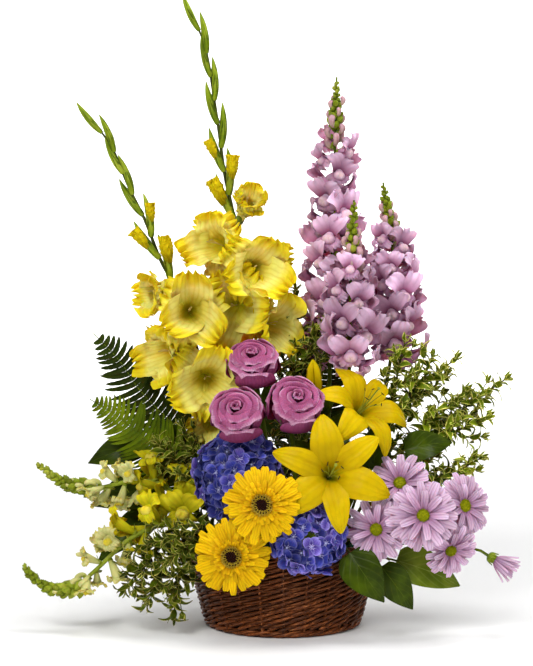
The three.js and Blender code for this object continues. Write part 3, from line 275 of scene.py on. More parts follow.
def bract(b, root, tip, up, width, mat, chance):
    """A small flat leaf, as under a bud."""
    leaf(b, root, tip, up, width, mat, 7, 5, 0.5, 0, chance=chance, thick=0.35)


# ---------------------------------------------------------------- materials
def rgba(text):
    """A colour written as in a picture, such as "d9a441", as linear values."""
    c = [int(text[i : i + 2], 16) / 255 for i in (0, 2, 4)]
    return [x / 12.92 if x <= 0.04045 else ((x + 0.055) / 1.055) ** 2.4 for x in c] + [1.0]


MAT = {}  # every look by its name


class Surface:
    """A principled material with its nodes, written from the petal coordinates and from noise."""

    def __init__(self, name, **constants):
        MAT[name] = bpy.data.materials.new(name)
        MAT[name].use_nodes = True
        self.tree = MAT[name].node_tree
        self.shader = self.tree.nodes["Principled BSDF"]
        for key, value in constants.items():
            self.shader.inputs[key.replace("_", " ")].default_value = value
        where = self.node("ShaderNodeAttribute")
        where.attribute_name = "petal"
        split = self.node("ShaderNodeSeparateXYZ", where.outputs["Vector"])
        self.u, self.v, self.chance = split.outputs
        self.place = self.node("ShaderNodeTexCoord").outputs["Object"]
        self.bumps = None

    def node(self, kind, *inputs, **settings):
        n = self.tree.nodes.new(kind)
        for key, value in settings.items():
            setattr(n, key, value)
        for socket, value in zip(n.inputs, inputs):
            self.feed(socket, value)
        return n

    def feed(self, socket, value):
        if value is None:
            return
        if isinstance(value, bpy.types.NodeSocket):
            self.tree.links.new(value, socket)
        else:
            socket.default_value = value

    def math(self, operation, a, b=None, c=None):
        return self.node("ShaderNodeMath", a, b, c, operation=operation).outputs[0]

    def noise(self, scale, detail=3.0, rough=0.55, stretch=None):
        where = self.place
        if stretch:
            where = self.node("ShaderNodeMapping", where, None, None, stretch).outputs[0]
        n = self.node("ShaderNodeTexNoise", where)
        n.inputs["Scale"].default_value = scale
        n.inputs["Detail"].default_value = detail
        n.inputs["Roughness"].default_value = rough
        return n.outputs[0]

    def span(self, value, low, high, to_low=0.0, to_high=1.0):
        return self.node("ShaderNodeMapRange", value, low, high, to_low, to_high).outputs[0]

    def ramp(self, value, stops):
        """stops are written as places and colours, such as "0 35420a, 1 78862a"."""
        n = self.node("ShaderNodeValToRGB", value)
        stops = [stop.split() for stop in stops.split(", ")]
        keys = n.color_ramp.elements
        while len(keys) < len(stops):
            keys.new(0.5)
        for key, (at, colour) in zip(keys, stops):
            key.position = float(at)
            key.color = rgba(colour)
        return n.outputs[0]

    def blend(self, factor, a, b, how="MIX"):
        n = self.node("ShaderNodeMix", data_type="RGBA", blend_type=how)
        for key, value in (("Factor_Float", factor), ("A_Color", a), ("B_Color", b)):
            socket = next(s for s in n.inputs if s.identifier == key)
            self.feed(socket, rgba(value) if isinstance(value, str) else value)
        return next(s for s in n.outputs if s.identifier == "Result_Color")

    def off_middle(self):
        """0 at a petal's midrib and 1 at its margins."""
        return self.math("ABSOLUTE", self.math("MULTIPLY_ADD", self.v, 2.0, -1.0))

    def stripes(self, count):
        """Lines along a petal, from 0 to 1 across each."""
        waver = self.math("MULTIPLY", self.noise(90), 4.8)
        turns = self.math("MULTIPLY_ADD", self.v, count * TAU, waver)
        return self.math("MULTIPLY_ADD", self.math("SINE", turns), 0.5, 0.5)

    def vary(self, colour, low, high, mottle=0.12):
        """Each petal a little lighter or darker than the next, and mottled."""
        tone = self.span(self.chance, 0, 1, low, high)
        spots = self.span(self.noise(60), 0.25, 0.75, 1 - mottle, 1 + mottle)
        tone = self.math("MULTIPLY", tone, spots)
        grey = self.node("ShaderNodeCombineColor", tone, tone, tone).outputs[0]
        return self.blend(1.0, colour, grey, "MULTIPLY")

    def bump(self, height, distance, strength):
        n = self.node("ShaderNodeBump")
        n.inputs["Strength"].default_value = strength
        n.inputs["Distance"].default_value = distance
        self.feed(n.inputs["Height"], height)
        if self.bumps:
            self.feed(n.inputs["Normal"], self.bumps)
        self.bumps = n.outputs[0]

    def done(self, colour, rough, scale=120):
        self.feed(self.shader.inputs["Base Color"], colour)
        self.feed(self.shader.inputs["Roughness"], self.span(self.noise(scale), 0.3, 0.7, *rough))
        if self.bumps:
            self.feed(self.shader.inputs["Normal"], self.bumps)


def petal_look(name, stops, veins, vein_colour=None, vein_depth=0.25, rough=(0.45, 0.62), low=0.86,
               high=1.08, glow=0.2, ridge=0.0004):
    """A soft petal, coloured from its root to its tip, with fine veins and ridges along it."""
    s = Surface(name, Subsurface_Weight=glow, Subsurface_Scale=0.003, Specular_IOR_Level=0.05)
    wander = s.math("ADD", s.u, s.span(s.noise(70), 0.2, 0.8, -0.07, 0.07))
    colour = s.ramp(wander, stops)
    lines = s.stripes(veins)
    fine = s.math("MULTIPLY", s.math("POWER", lines, 3.0), vein_depth)
    if vein_colour:
        colour = s.blend(fine, colour, vein_colour)
    s.bump(lines, ridge, 0.5)
    s.bump(s.noise(900, 2), 0.0002, 0.25)
    s.done(s.vary(colour, low, high), rough)


def leaf_look(name, stops, rib, veins, coat=0.0, rough=(0.35, 0.5), edge=None, edge_width=0.3,
              low=0.75, high=1.15, rib_width=0.05, glow=0.06):
    """A mottled leaf with a paler midrib, slanted side veins and, where named, a pale edge."""
    s = Surface(name, Subsurface_Weight=glow, Subsurface_Scale=0.002, Coat_Weight=coat,
                Coat_Roughness=0.22, Specular_IOR_Level=0.07)
    colour = s.ramp(s.span(s.noise(35), 0.25, 0.75), stops)
    away = s.off_middle()
    slanted = s.math("MULTIPLY_ADD", away, -0.45, s.u)
    waves = s.math("SINE", s.math("MULTIPLY", slanted, veins * TAU))
    side_veins = s.math("POWER", s.math("MULTIPLY_ADD", waves, 0.5, 0.5), 8.0)
    midrib = s.span(away, 0.0, rib_width, 1.0, 0.0)
    colour = s.blend(s.math("MULTIPLY", side_veins, 0.16), colour, rib)
    if edge:
        waver = s.span(s.noise(120), 0.3, 0.7, -0.25, 0.25)
        colour = s.blend(s.span(s.math("ADD", away, waver), 1 - edge_width, 1.0), colour, edge)
    colour = s.blend(s.math("MULTIPLY", midrib, 0.6), colour, rib)
    s.bump(s.math("MAXIMUM", side_veins, midrib), 0.0005, 0.5)
    s.bump(s.noise(500, 2), 0.0003, 0.25)
    s.done(s.vary(colour, low, high), rough)


def plain_look(name, stops, scale=60, bump_scale=500, depth=0.0004, rough=(0.45, 0.6), stretch=None,
               strength=0.5):
    """Noise between colours, with a fine grain. stretch draws the grain out along an axis."""
    s = Surface(name, Specular_IOR_Level=0.08)
    grain = s.noise(scale, 4, 0.6, stretch)
    colour = s.ramp(s.span(grain, 0.25, 0.75), stops)
    s.bump(s.noise(bump_scale, 3, 0.6, stretch), depth, strength)
    s.done(s.vary(colour, 0.85, 1.1), rough)


def hydrangea_look():
    """Blue petals with violet patches and white at the very centre. Each is darkened near its base as
    painted shade and paled at its margin and tip as painted highlight.
    """
    s = Surface("hydrangea_petal", Subsurface_Weight=0.1, Subsurface_Scale=0.003, Specular_IOR_Level=0.08)
    away = s.off_middle()
    # the dark stop near the base is painted shade where the petals meet
    blue = s.ramp(s.u, "0 b9b4e0, 0.12 242a72, 0.6 3a42a2, 1 6266c2")
    violet = s.ramp(s.u, "0 c0b0e0, 0.12 382a6a, 0.6 5a4a98, 1 8674be")
    colour = s.blend(s.span(s.math("ADD", s.chance, s.noise(45)), 1.02, 1.4), blue, violet)
    # the pale margin and tip are a painted highlight
    edge = s.span(s.math("MAXIMUM", away, s.u), 0.7, 1.05, 0.0, 0.45)
    colour = s.blend(edge, colour, "9c9cd8")
    colour = s.blend(s.math("MULTIPLY", s.math("POWER", s.stripes(5), 4.0), 0.35), colour, "2a2a78")
    s.bump(s.stripes(5), 0.0004, 0.5)
    s.done(s.vary(colour, 0.42, 1.6, 0.25), (0.45, 0.6))


def willow_look():
    """Brown bark with long streaks along each rod, laid at random. Its darkest streaks are painted shade and
    its lightest, reddest ones painted highlight, partly the bark's own tone.
    """
    s = Surface("willow", Coat_Weight=0.08, Coat_Roughness=0.3, Specular_IOR_Level=0.1)
    along = s.node("ShaderNodeCombineXYZ", s.u, s.math("MULTIPLY", s.v, 7.0), s.chance).outputs[0]
    streak = s.node("ShaderNodeTexNoise", along)
    streak.inputs["Scale"].default_value = 2.2
    streak.inputs["Detail"].default_value = 4
    # streaks run from painted shade (darkest) to painted highlight (lightest, reddest), partly the bark's
    # own tone
    colour = s.ramp(s.span(streak.outputs[0], 0.28, 0.75),
                    "0 150601, 0.35 48220e, 0.7 86481f, 1 c88a58")
    s.bump(streak.outputs[0], 0.0006, 0.6)
    s.bump(s.noise(1400, 3), 0.0003, 0.35)
    s.done(s.vary(colour, 0.5, 1.5), (0.32, 0.5), 300)


STEM_COLOURS = {
    "green_stem": "0 35420a, 0.5 52620f, 1 78862a",
    "pale_stem": "0 66761a, 0.5 8a9828, 1 aab046",
    "dark_stem": "0 22280c, 0.5 3b4214, 1 5c6428",
    "woody_twig": "0 2c2a0c, 0.5 4e4e16, 1 6d6c26",
}
for name, stops in STEM_COLOURS.items():
    plain_look(name, stops, 90, 700, 0.0003, stretch=(1, 1, 0.15))

# gladiolus: olive at the root, partly the throat's own colour and partly painted shade in its depth; pale
# cream in the middle, partly the petal's own colour and partly painted highlight
petal_look("gladiolus_petal", "0 a09410, 0.16 c6b222, 0.36 e2d058, 0.66 ecdf7c, 0.84 e6d02e, 1 e2c810",
           9, "ccae18", 0.3, low=0.8, high=1.12, glow=0.3)
petal_look("gladiolus_crest", "0 a09410, 0.4 d8bc0a, 1 e8ca10", 9, "a88a04", 0.5, low=0.8)
# rose: near black at the petal root, painted shade deep in the cup; palest at the lip, painted highlight
petal_look("rose_petal", "0 32081e, 0.35 702548, 0.72 93406a, 0.93 ae5f88, 1 d29ab8", 13, "7a2f5a", 0.2,
           low=0.8, high=1.1)
petal_look("gerbera_ray", "0 b07504, 0.3 dba406, 1 f0c00a", 3, "bd8604", 0.5)
petal_look("gerbera_fringe", "0 9c6402, 0.5 d69a05, 1 efbe0c", 1, low=0.7)
petal_look("lily_tepal", "0 4f5a0a, 0.1 8a8a0c, 0.26 b99a04, 0.6 cbaa02, 1 d6b604", 5, "a98a02", 0.2,
           rough=(0.35, 0.5), low=0.9, high=1.05)
petal_look("daisy_ray", "0 8a5474, 0.3 b488a8, 1 e2c4dc", 2.5, "98688f", 0.45, low=0.8, high=1.12)
# snapdragon: dark at the root, painted shade in the throat; palest at the lobe tips, partly the lobes' own
# colour and partly painted highlight
petal_look("snapdragon_petal", "0 5c2c3e, 0.3 9a5f80, 0.65 cfa2bf, 1 e2bfd6", 3, "9c6284", 0.14,
           low=0.66, high=1.26, ridge=0.00005)
# palate: cream at its front, its own colour; darker towards its underside, partly its own pink and partly
# painted shade beneath
petal_look("snapdragon_palate", "0 e2c4c4, 0.3 dcb8c8, 0.6 c898b4, 1 96607e", 3, "b4809e", 0.2,
           low=0.8, high=1.14, ridge=0.00005)
petal_look("snapdragon_bud", "0 8c8a40, 0.3 b29a84, 0.7 c39aa2, 1 b07e90", 5, "8f5f6e", 0.3)
petal_look("pale_snapdragon", "0 98a03a, 0.4 c6c67c, 0.8 d8d28e, 1 cabc4a", 4, "a3a24a", 0.3, low=0.85)
petal_look("yellow_snapdragon", "0 8d9612, 0.4 b8b012, 0.8 d2c21c, 1 c6b40a", 4, "98921a", 0.3, low=0.8)
petal_look("pale_palate", "0 d8c22c, 0.5 d6c64e, 1 bcb24c", 3, low=0.8, ridge=0.0001)
hydrangea_look()

leaf_look("bract", "0 5c700c, 0.5 82941c, 1 a6b03a", "b8be5a", 1.5, edge="3f5408", edge_width=0.3,
          low=0.88, high=1.08, glow=0.2)
leaf_look("green_bud", "0 505e0c, 0.5 7c8a1c, 1 b0b244", "b0b44c", 1, glow=0.15)
leaf_look("fern_dark", "0 152003, 0.5 243405, 1 36480a", "56661c", 9, rough=(0.45, 0.65))
leaf_look("fern_light", "0 384a02, 0.5 566a04, 1 7a8e0c", "7c9030", 9, rough=(0.45, 0.65), glow=0.15)
leaf_look("salal_leaf", "0 1e2a01, 0.5 344402, 1 4c5e06", "5c6e1a", 5, 0.05, (0.3, 0.45), rib_width=0.025)
leaf_look("salal_underside", "0 46580c, 0.5 5e7016, 1 788828", "98a450", 5, 0.1, rib_width=0.025)
leaf_look("variegated_leaf", "0 243004, 0.5 4c5e08, 1 7c8a12", "787e22", 2, 0.05, edge="ccc660",
          edge_width=0.24, low=0.45, high=1.65, glow=0.12)

plain_look("filament", "0 b99a52, 1 e0cf94")
plain_look("green_filament", "0 6f7a1c, 1 a5a83a")
plain_look("anther", "0 2a2408, 1 4a4414", 500, 900, 0.0005)
plain_look("hydrangea_eye", "0 9aa6e6, 1 e4e8fb")
plain_look("gerbera_ring", "0 a8861c, 0.5 c8a930, 1 e0cc66", 500)
plain_look("gerbera_disc", "0 120503, 0.6 260d06, 1 43180a", 700, 900, 0.0006)
plain_look("daisy_disc", "0 646e02, 0.6 929606, 1 c0b416", 500, 800, 0.0005)
willow_look()
# near black: painted shade, seen in the gaps between the rods
plain_look("willow_inside", "0 0c0401, 0.6 1a0c06, 1 2c170e", 200, 600, 0.0008, (0.6, 0.8))
plain_look("liner_plastic", "0 141d12, 1 24331f", 40, 400, 0.0002)
plain_look("floral_foam", "0 16331a, 0.5 24502c, 1 31623a", 300, 900, 0.0015, (0.85, 0.98), strength=0.9)


# ---------------------------------------------------------------- the basket
BASE, RIM, HEIGHT = 88.0, 113.0, 94.0
STAKES = 24
LEVELS = 27  # heights at which a rod crosses a stake
LOWEST = 10.9  # the first of them
RODS = 2 * STAKES
STRAND_SIDES = 7
# each border: strands, radius, half width, height of its middle, half height, turns, strand radius
BORDERS = {"rim": (4, 111, 2.2, 98.6, 2.1, 17, 2.5), "foot": (3, 88.4, 2.0, 4.7, 2.0, 11, 2.2)}


def wall_radius(z):
    return mix(BASE, RIM, z / HEIGHT)


def strand(b, a, r, z, thick, chance, closed=False):
    """A round strand along the basket at the angles a, radii r and heights z."""
    out = np.stack([np.cos(a), np.sin(a), 0 * a], -1)
    centre = out * r[:, None] + np.stack([0 * a, 0 * a, z], -1)
    if not closed:
        thick = thick * np.minimum(1, np.minimum(np.arange(len(a)), np.arange(len(a))[::-1]) + 0.01)
    c = np.linspace(0, TAU, STRAND_SIDES, endpoint=False)
    points = centre[:, None] + np.reshape(thick, (-1, 1, 1)) * (
        np.cos(c)[None, :, None] * out[:, None] + np.sin(c)[None, :, None] * vec(0, 0, 1)
    )
    coords = uv_grid(len(a), STRAND_SIDES, chance)[2]
    coords[..., 0] = (a * r)[:, None] / 12
    if closed:
        points = np.concatenate([points, points[:1]])
        coords = np.concatenate([coords, coords[:1]])
    b.grid(points, coords, 0, wrap=True)


def basket():
    """Each rod rises to the right round the wall, in front of one stake and behind the next."""
    draw = random.Random(4).uniform
    b = Build()
    level = (HEIGHT - LOWEST) / LEVELS
    stake_turn = TAU / STAKES
    for j in range(RODS):
        t = np.linspace(-0.02, 1.0, 150)
        a = (t * LEVELS / 2 - j / 2) * stake_turn
        z = LOWEST + level * LEVELS * t + 0.35 * np.sin(3.1 * a + j * 2.3)
        front = np.cos(math.pi * (a / stake_turn + j))
        r = wall_radius(z) + 0.3 + 2.0 * front + 0.25 * np.sin(9 * a + j)
        # where it dives behind a stake a rod lies a little higher or lower than its straight line
        z = z + 0.5 * np.sin(math.pi * (a / stake_turn + j)) * level / 3
        strand(b, a, r, z, mix(1.85, 1.45, t) * draw(0.92, 1.08), chance=draw(0, 1))
    for k in range(STAKES):
        out = ring(1, k * stake_turn)
        foot, head = out * (wall_radius(4) - 0.6), out * (wall_radius(HEIGHT) + 0.2)
        tube(b, [foot + vec(0, 0, 3), head + vec(0, 0, HEIGHT + 2)], 2.0, 8, 4, 0, draw(0, 1))
    under, floor, edge = 0.4, 5.2, 86
    behind_rods = [(wall_radius(z) - 2.6, z) for z in (10, 30, 60, HEIGHT)]
    profile = [(0.1, under), (edge, under), (edge, 4), *behind_rods, (wall_radius(HEIGHT) - 5.4, HEIGHT),
               (wall_radius(HEIGHT - 4) - 6.4, HEIGHT - 4), (78, floor), (0.1, floor)]
    # this inner wall behind the rods is coloured near black, painted shade in the gaps between them
    lathe(b, np.eye(4), profile, 96, 1)
    b.piece("woven_basket", "willow willow_inside", "basket_body")

    for name, (count, middle, wide, z, high, turns, thick) in BORDERS.items():
        b = Build()
        a = np.linspace(0, TAU, 480, endpoint=False)
        for k in range(count):
            phase = TAU * k / count
            r = middle + wide * np.cos(turns * a + phase)
            strand(b, a, r, z + high * np.sin(turns * a + phase), thick, draw(0, 1), True)
        b.piece(name + "_border", "willow", "basket_" + name)


# ---------------------------------------------------------------- blooms
TEPALS = 6  # of a gladiolus floret and of a lily


def gladiolus_floret(b, seat, mouth, radius, spin, opening, seed):
    """A deep trumpet of six broad petals with finely ruffled margins, in its green sheath."""
    draw = random.Random(seed).uniform
    axis = vec(*mouth) - seat
    length = np.linalg.norm(axis)
    m = frame_at(mouth, axis, spin)
    for k in range(TEPALS):
        inner = k % 2
        wide = radius * opening * draw(0.92, 1.1)
        lift = draw(4, 12) if inner else draw(-7, 1)
        tip = (draw(-2, 7) if inner else draw(-12, -3)) * opening + lift
        mid = [(1.0, -length * 0.5), (5, -length * 0.44), (9, -length * 0.32),
               (wide * 0.42, -length * 0.12 + lift * 0.4), (wide * 0.78, lift), (wide, tip)]
        width = radius * (1.16 if inner else 1.0) * mix(0.8, 1, opening)
        petal = blade(mid, width, 40, 33, (0.8, 0.34), 0.1,
                      cup=draw(0.2, 0.7) if inner else draw(-0.5, 0.2), groove=2.2,
                      ruffle=draw(4.2, 6.4) * opening + 0.8, waves=draw(2.6, 3.8),
                      phase=draw(0, TAU), chance=draw(0, 1),
                      frill=1.5 + 0.5 * (1 - opening), pleat=0.7, sway=draw(-0.18, 0.18))
        lay(b, petal, m, k * TAU / TEPALS + draw(-0.16, 0.16))
    neck = [(0.05, -length), (2.4, -length), (3.8, -length * 0.8), (6.4, -length * 0.56),
            (9.4, -length * 0.4), (5.4, -length * 0.5), (0.6, -length * 0.57)]
    lathe(b, m, neck, 14, 0, draw(0, 1))
    for k in range(3):  # its stamens
        a = draw(-0.4, 0.4) + k * 0.5 + math.pi / 2 - 0.5
        tip = ring(5, a, -2 + 2 * k)
        pts = [(0, 0, -length * 0.5), (0.5, 1, -length * 0.3), tip]
        tube(b, moved(np.array(pts), m), 0.45, 5, 8, 1)
        lathe(b, frame_at(moved(tip, m), axis), [(0.05, -2.5), (0.7, -1), (0.7, 2), (0.05, 3.5)], 6, 1)
    for k in range(2):  # the green sheath at its base
        sheath = [(2.6, -length), (4.6, -length * 0.86), (6.4, -length * 0.66), (7.6, -length * 0.42)]
        lay(b, blade(sheath, 11, 10, 7, (0.4, 1.0), cup=0.5, chance=draw(0, 1)), m, k * math.pi + 0.4, 2)


def rose(b, at, facing, radius, seed):
    """A deep cup of petals, tight in the middle. The outer ones stand apart and roll back their lips."""
    draw = random.Random(seed).uniform
    m = frame_at(at, facing)
    count = 25
    for k in range(count):
        s = k / (count - 1)
        bunched = s - 0.04 * math.sin(TAU * 3 * s)  # three close rounds with shadow between them
        top = radius * mix(0.05, 0.86, bunched) * draw(0.97, 1.03)
        uneven = draw(-0.04, 0.04) * (0.3 + 0.7 * s)
        z_top = radius * (mix(0.46, 0.22, s**1.5) + 0.05 * math.sin(TAU * 3 * s) + uneven)
        z_base = radius * mix(-0.1, -0.88, s**0.8)
        belly = mix(0.92, 1.12, s)
        half = mix(2.1, 0.9, s**0.5)
        lip = radius * (0.02 + 0.4 * s * (1.04 - s)) * draw(0.8, 1.2)
        line = Line([(top * 0.3, 0, z_base), (top * 0.82 * belly, 0, mix(z_base, z_top, 0.2)),
                     (top * belly, 0, mix(z_base, z_top, 0.5)),
                     (top * mix(belly, 0.96, 0.6), 0, mix(z_base, z_top, 0.84)),
                     (top + lip * 0.5, 0, z_top), (top + lip * 1.6, 0, z_top - lip * 0.9)])
        u, v, coords = uv_grid(22, 21, draw(0, 1))
        profile = line.at(u[:, 0])
        narrow = np.clip(1 - np.maximum(u - 0.66, 0) ** 2 * 4.2, 0.2, 1)
        a = k * GOLDEN + v * half * narrow * mix(0.8, 1, u) + 0.12 * math.sin(3 * k) * u
        r = profile[:, 0][:, None] + v * radius * mix(0.03, 0.04, s)
        wave = np.sin(v * draw(2.2, 3.6) + k) * u**3 * radius * 0.016 * (0.4 + s)
        point = np.exp(-((v / 0.3) ** 2)) * u**8 * lip * 0.32
        r = r + wave + np.abs(v) ** 3 * u**4 * lip * 0.45 + point
        z = profile[:, 2][:, None] - np.abs(v) ** 3 * u * radius * mix(0.08, 0.2, s) + wave - point * 0.3
        b.grid(moved(np.stack([r * np.cos(a), r * np.sin(a), z], -1), m), coords, 0, 0.4)


def sepals(b, at, facing, radius, seed):
    """The cup under a rose and its five pointed sepals."""
    draw = random.Random(seed).uniform
    m = frame_at(at, facing)
    cup = [(0.05, -0.85 * radius), (5, -0.82 * radius), (7, -0.72 * radius), (0.1, -0.6 * radius)]
    lathe(b, m, cup, 10, 0)
    count = 5
    for k in range(count):
        mid = [(3, -0.8 * radius), (0.4 * radius, -0.66 * radius), (0.75 * radius, -0.3 * radius),
               (0.86 * radius, -0.02 * radius)]
        lay(b, blade(mid, 9, 10, 5, (0.3, 1.0), cup=0.3, chance=draw(0, 1)), m, k * TAU / count + 0.2)


def hydrangea(b, at, facing, radius, deep, neck, seed):
    """A dome of four-petalled florets, tipped this way and that, on a smaller green core."""
    draw = random.Random(seed).uniform
    m = frame_at(at, facing)
    core = [(0.78 * radius * math.sin(a), -0.78 * deep * math.cos(a)) for a in np.linspace(0.01, 3.13, 12)]
    lathe(b, m, core, 20, 2)
    tube(b, [neck, mix(vec(*neck), vec(*at), 0.5), at], 3.4, 8, 6, 2)
    count = int(radius * radius / 38)
    petals = 4
    for k in range(count):
        polar = math.acos(1 - 1.3 * (k + 0.4) / count)
        n = ring(math.sin(polar), k * GOLDEN, math.cos(polar))
        tilt = np.array([draw(-1, 1) for _ in range(3)])
        normal = unit(unit(n / (radius, radius, deep)) + tilt * 0.42)
        size = draw(10.5, 14)
        p = n * (radius, radius, deep) * draw(0.84, 0.98) - normal * size * 0.12
        f = m @ frame_at(p, normal, draw(0, TAU))
        tone = draw(0, 1) ** 1.4
        for j in range(petals):
            rise = draw(0.5, 5.5) if j % 2 else draw(-3, 3.5)
            mid = [(0.6, -0.6), (size * 0.4, 0.6), (size * 0.75, rise * 0.6), (size * 1.05, rise)]
            petal = blade(mid, size * draw(1.0, 1.16), 9, 9, (0.75, 0.6), 0.14, cup=draw(0.05, 0.35),
                          groove=0.5, ruffle=0.7, waves=1.3, phase=draw(0, TAU),
                          chance=min(1, max(0, tone + draw(-0.1, 0.1))))
            lay(b, petal, f, j * TAU / petals + draw(-0.12, 0.12), 0, 0.35)
        lathe(b, f, [(0.05, -0.8), (1.0, 0.2), (0.9, 1.0), (0.05, 1.5)], 6, 1)
        tube(b, [moved(p - normal * 14, m), moved(p, m)], 0.7, 4, 3, 2)


def ray_bloom(b, m, radius, disc, rounds, draw):
    """rounds: each (rays, reach, lift at the middle, height at the tip, width, cup, material)."""
    for number, (rays, reach, lift, droop, width, cup, mat) in enumerate(rounds):
        for k in range(rays):
            out = radius * reach * draw(0.88, 1.04)
            z = draw(-1.0, 1.0) * radius * 0.045
            mid = [(disc * 0.55, lift * 0.3), (mix(disc, out, 0.3), lift + z * 0.5),
                   (mix(disc, out, 0.7), mix(lift, droop, 0.5) + z + 1), (out, droop + z * 1.8)]
            petal = blade(mid, width * draw(0.88, 1.08), 14, 9, (0.4, 0.24), 0.06,
                          cup=cup + draw(-0.2, 0.2), groove=width * 0.07, ruffle=width * 0.03, waves=1.5,
                          phase=draw(0, TAU), chance=draw(0, 1), pleat=width * 0.022,
                          sway=draw(-0.22, 0.22))
            turn = (k + 0.5 * number + draw(-0.22, 0.22)) / rays
            lay(b, petal, m, turn * TAU, mat, 0.4)


def gerbera(b, at, facing, radius, depth, seed):
    """Two rounds of long rays and three of short fringe round a dark disc of small florets."""
    draw = random.Random(seed).uniform
    m = frame_at(at, facing)
    core, crown = 5.6, 12.5
    rounds = [(25, 1.0, 2.5, -3.0, radius * 0.225, -0.1, 0), (23, 0.95, 5, 1.0, radius * 0.215, -0.1, 0),
              (22, 0.66, 6.5, 4.0, radius * 0.12, 0.1, 1), (30, 0.5, 7, 7, radius * 0.1, 0.2, 1),
              (34, 0.42, 7.5, 9, radius * 0.07, 0.2, 1)]
    ray_bloom(b, m, radius, crown * 0.8, rounds, draw)
    lathe(b, m, [(0.05, -depth), (8, -depth + 0.5), (11, 0), (12, 5), (9, 7.5), (core, 7.8), (core * 0.5, 7),
                 (0.05, 6.8)], 20, 2)
    heads = 230
    for k in range(heads):
        r = crown * math.sqrt((k + 0.5) / heads)
        a = k * GOLDEN
        z = 7.0 + 1.4 * math.sin(math.pi * min(1, r / crown)) - (2 if r > crown * 0.92 else 0)
        lean = m[:3, :3] @ ring(0.35, a, 1)
        tip = frame_at(moved(ring(r, a, z), m), lean)
        tall = mix(1.6, 3.4, r / crown) * draw(0.8, 1.2)
        mat = 2 if r < core or (r < crown * 0.8 and k % 4 == 0) else 3
        wide = 0.75 if r < core else 0.5
        floret = [(wide, -1.5), (wide, tall * 0.4), (wide * 1.3, tall * 0.8), (0.05, tall)]
        lathe(b, tip, floret, 5, mat, draw(0, 1))


def daisy(b, at, facing, radius, disc, depth, seed, closed):
    """Rounds of rays about a green-yellow disc; a closed one is a bud that has begun to open."""
    draw = random.Random(seed).uniform
    m = frame_at(at, facing)
    if closed:
        rounds = [(12, 1.05, 8, 25, radius * 0.2, 0.5, 0), (10, 0.85, 9, 30, radius * 0.2, 0.5, 0),
                  (9, 0.55, 10, 31, radius * 0.18, 0.5, 0), (6, 0.3, 10, 29, radius * 0.18, 0.5, 0)]
        ray_bloom(b, m, radius, disc * 0.6, rounds, draw)
    else:
        rounds = [(15, 1.0, 2.0, -4.0, radius * 0.26, -0.05, 0), (14, 0.97, 4, 1.5, radius * 0.24, 0.15, 0),
                  (9, 0.74, 6, 7, radius * 0.2, 0.35, 0)]
        ray_bloom(b, m, radius, disc, rounds, draw)
    lathe(b, m, [(0.05, -depth), (disc * 0.7, -depth * 0.8), (disc * 0.9, 0), (disc * 0.9, 3),
                 (disc * 0.7, 4.4), (disc * 0.3, 5.0), (0.05, 4.9)], 16, 2 if closed else 1)
    florets = 0 if closed else 130
    for k in range(florets):
        r = disc * 0.92 * math.sqrt((k + 0.5) / florets)
        z = 4.6 - (r / disc) ** 2 * 1.6
        tall = mix(0.9, 2.2, (r / disc) ** 3)
        f = frame_at(moved(ring(r, k * GOLDEN, z), m), m[:3, 2])
        lathe(b, f, [(0.42, -0.8), (0.5, tall * 0.5), (0.34, tall * 0.9), (0.05, tall)], 5, 1,
              mix(0.2, 1, (r / disc) ** 4))
    bracts = 14
    for k in range(bracts):
        mid = [(2, -depth - 1), (disc * 0.7, -depth), (disc * 1.3, -1.2)]
        if closed:
            mid = [(1.5, -depth - 1), (disc * 0.9, -depth + 1), (disc * 1.25, 5)]
        lay(b, blade(mid, 3.4, 6, 3, (0.3, 0.7), chance=draw(0, 1)), m, k * TAU / bracts, 2)


def lily(b, at, facing, radius, spin, throat, curl, seed):
    """Six broad pointed tepals that roll back, with six stamens and a pistil."""
    draw = random.Random(seed).uniform
    m = frame_at(at, facing, spin)
    for k in range(TEPALS):
        inner = k % 2
        r = radius * draw(0.97, 1.03)
        mid = [(2.5, -throat), (5, -throat * 0.62), (r * 0.22, -throat * 0.16 + inner),
               (r * 0.55, 4 + 2 * inner), (r * 0.84, 2 - 6 * curl + inner), (r, -r * 0.28 * curl)]
        petal = blade(mid, radius * (0.56 if inner else 0.44), 30, 15, (0.8, 0.78), 0.05,
                      cup=-0.26 if inner else -0.14, groove=2.0, ruffle=0.7, waves=1.2,
                      phase=draw(0, TAU), chance=draw(0, 1), sway=draw(-0.05, 0.05))
        lay(b, petal, m, (k + 0.5) * TAU / TEPALS, 0, 0.6)
    for k in range(TEPALS):  # its stamens
        out = ring(1, k * TAU / TEPALS + draw(-0.2, 0.2))
        tip = out * draw(8, 13) + vec(0, 0, radius * draw(0.22, 0.34))
        pts = [out * 2 + vec(0, 0, -throat * 0.6), out * 4, tip]
        tube(b, [moved(p, m) for p in pts], (0.6, 0.35), 6, 10, 1)
        f = frame_at(moved(tip, m), m[:3, :3] @ (unit(np.cross(out, vec(0, 0, 1))) + 0.6 * out))
        lathe(b, f, [(0.05, -2.6), (0.55, -2), (0.65, 0), (0.55, 2), (0.05, 2.6)], 7, 2)
    pts = [vec(0, 0, -throat * 0.6), vec(1, 1, 0), vec(3, 3, radius * 0.45)]
    tube(b, [moved(p, m) for p in pts], (1.2, 0.9), 6, 10, 1)
    lathe(b, frame_at(moved(pts[-1], m), m[:3, 2]), [(0.8, -1), (1.9, 0.5), (2.0, 1.4), (0.05, 2.0)], 6, 1)


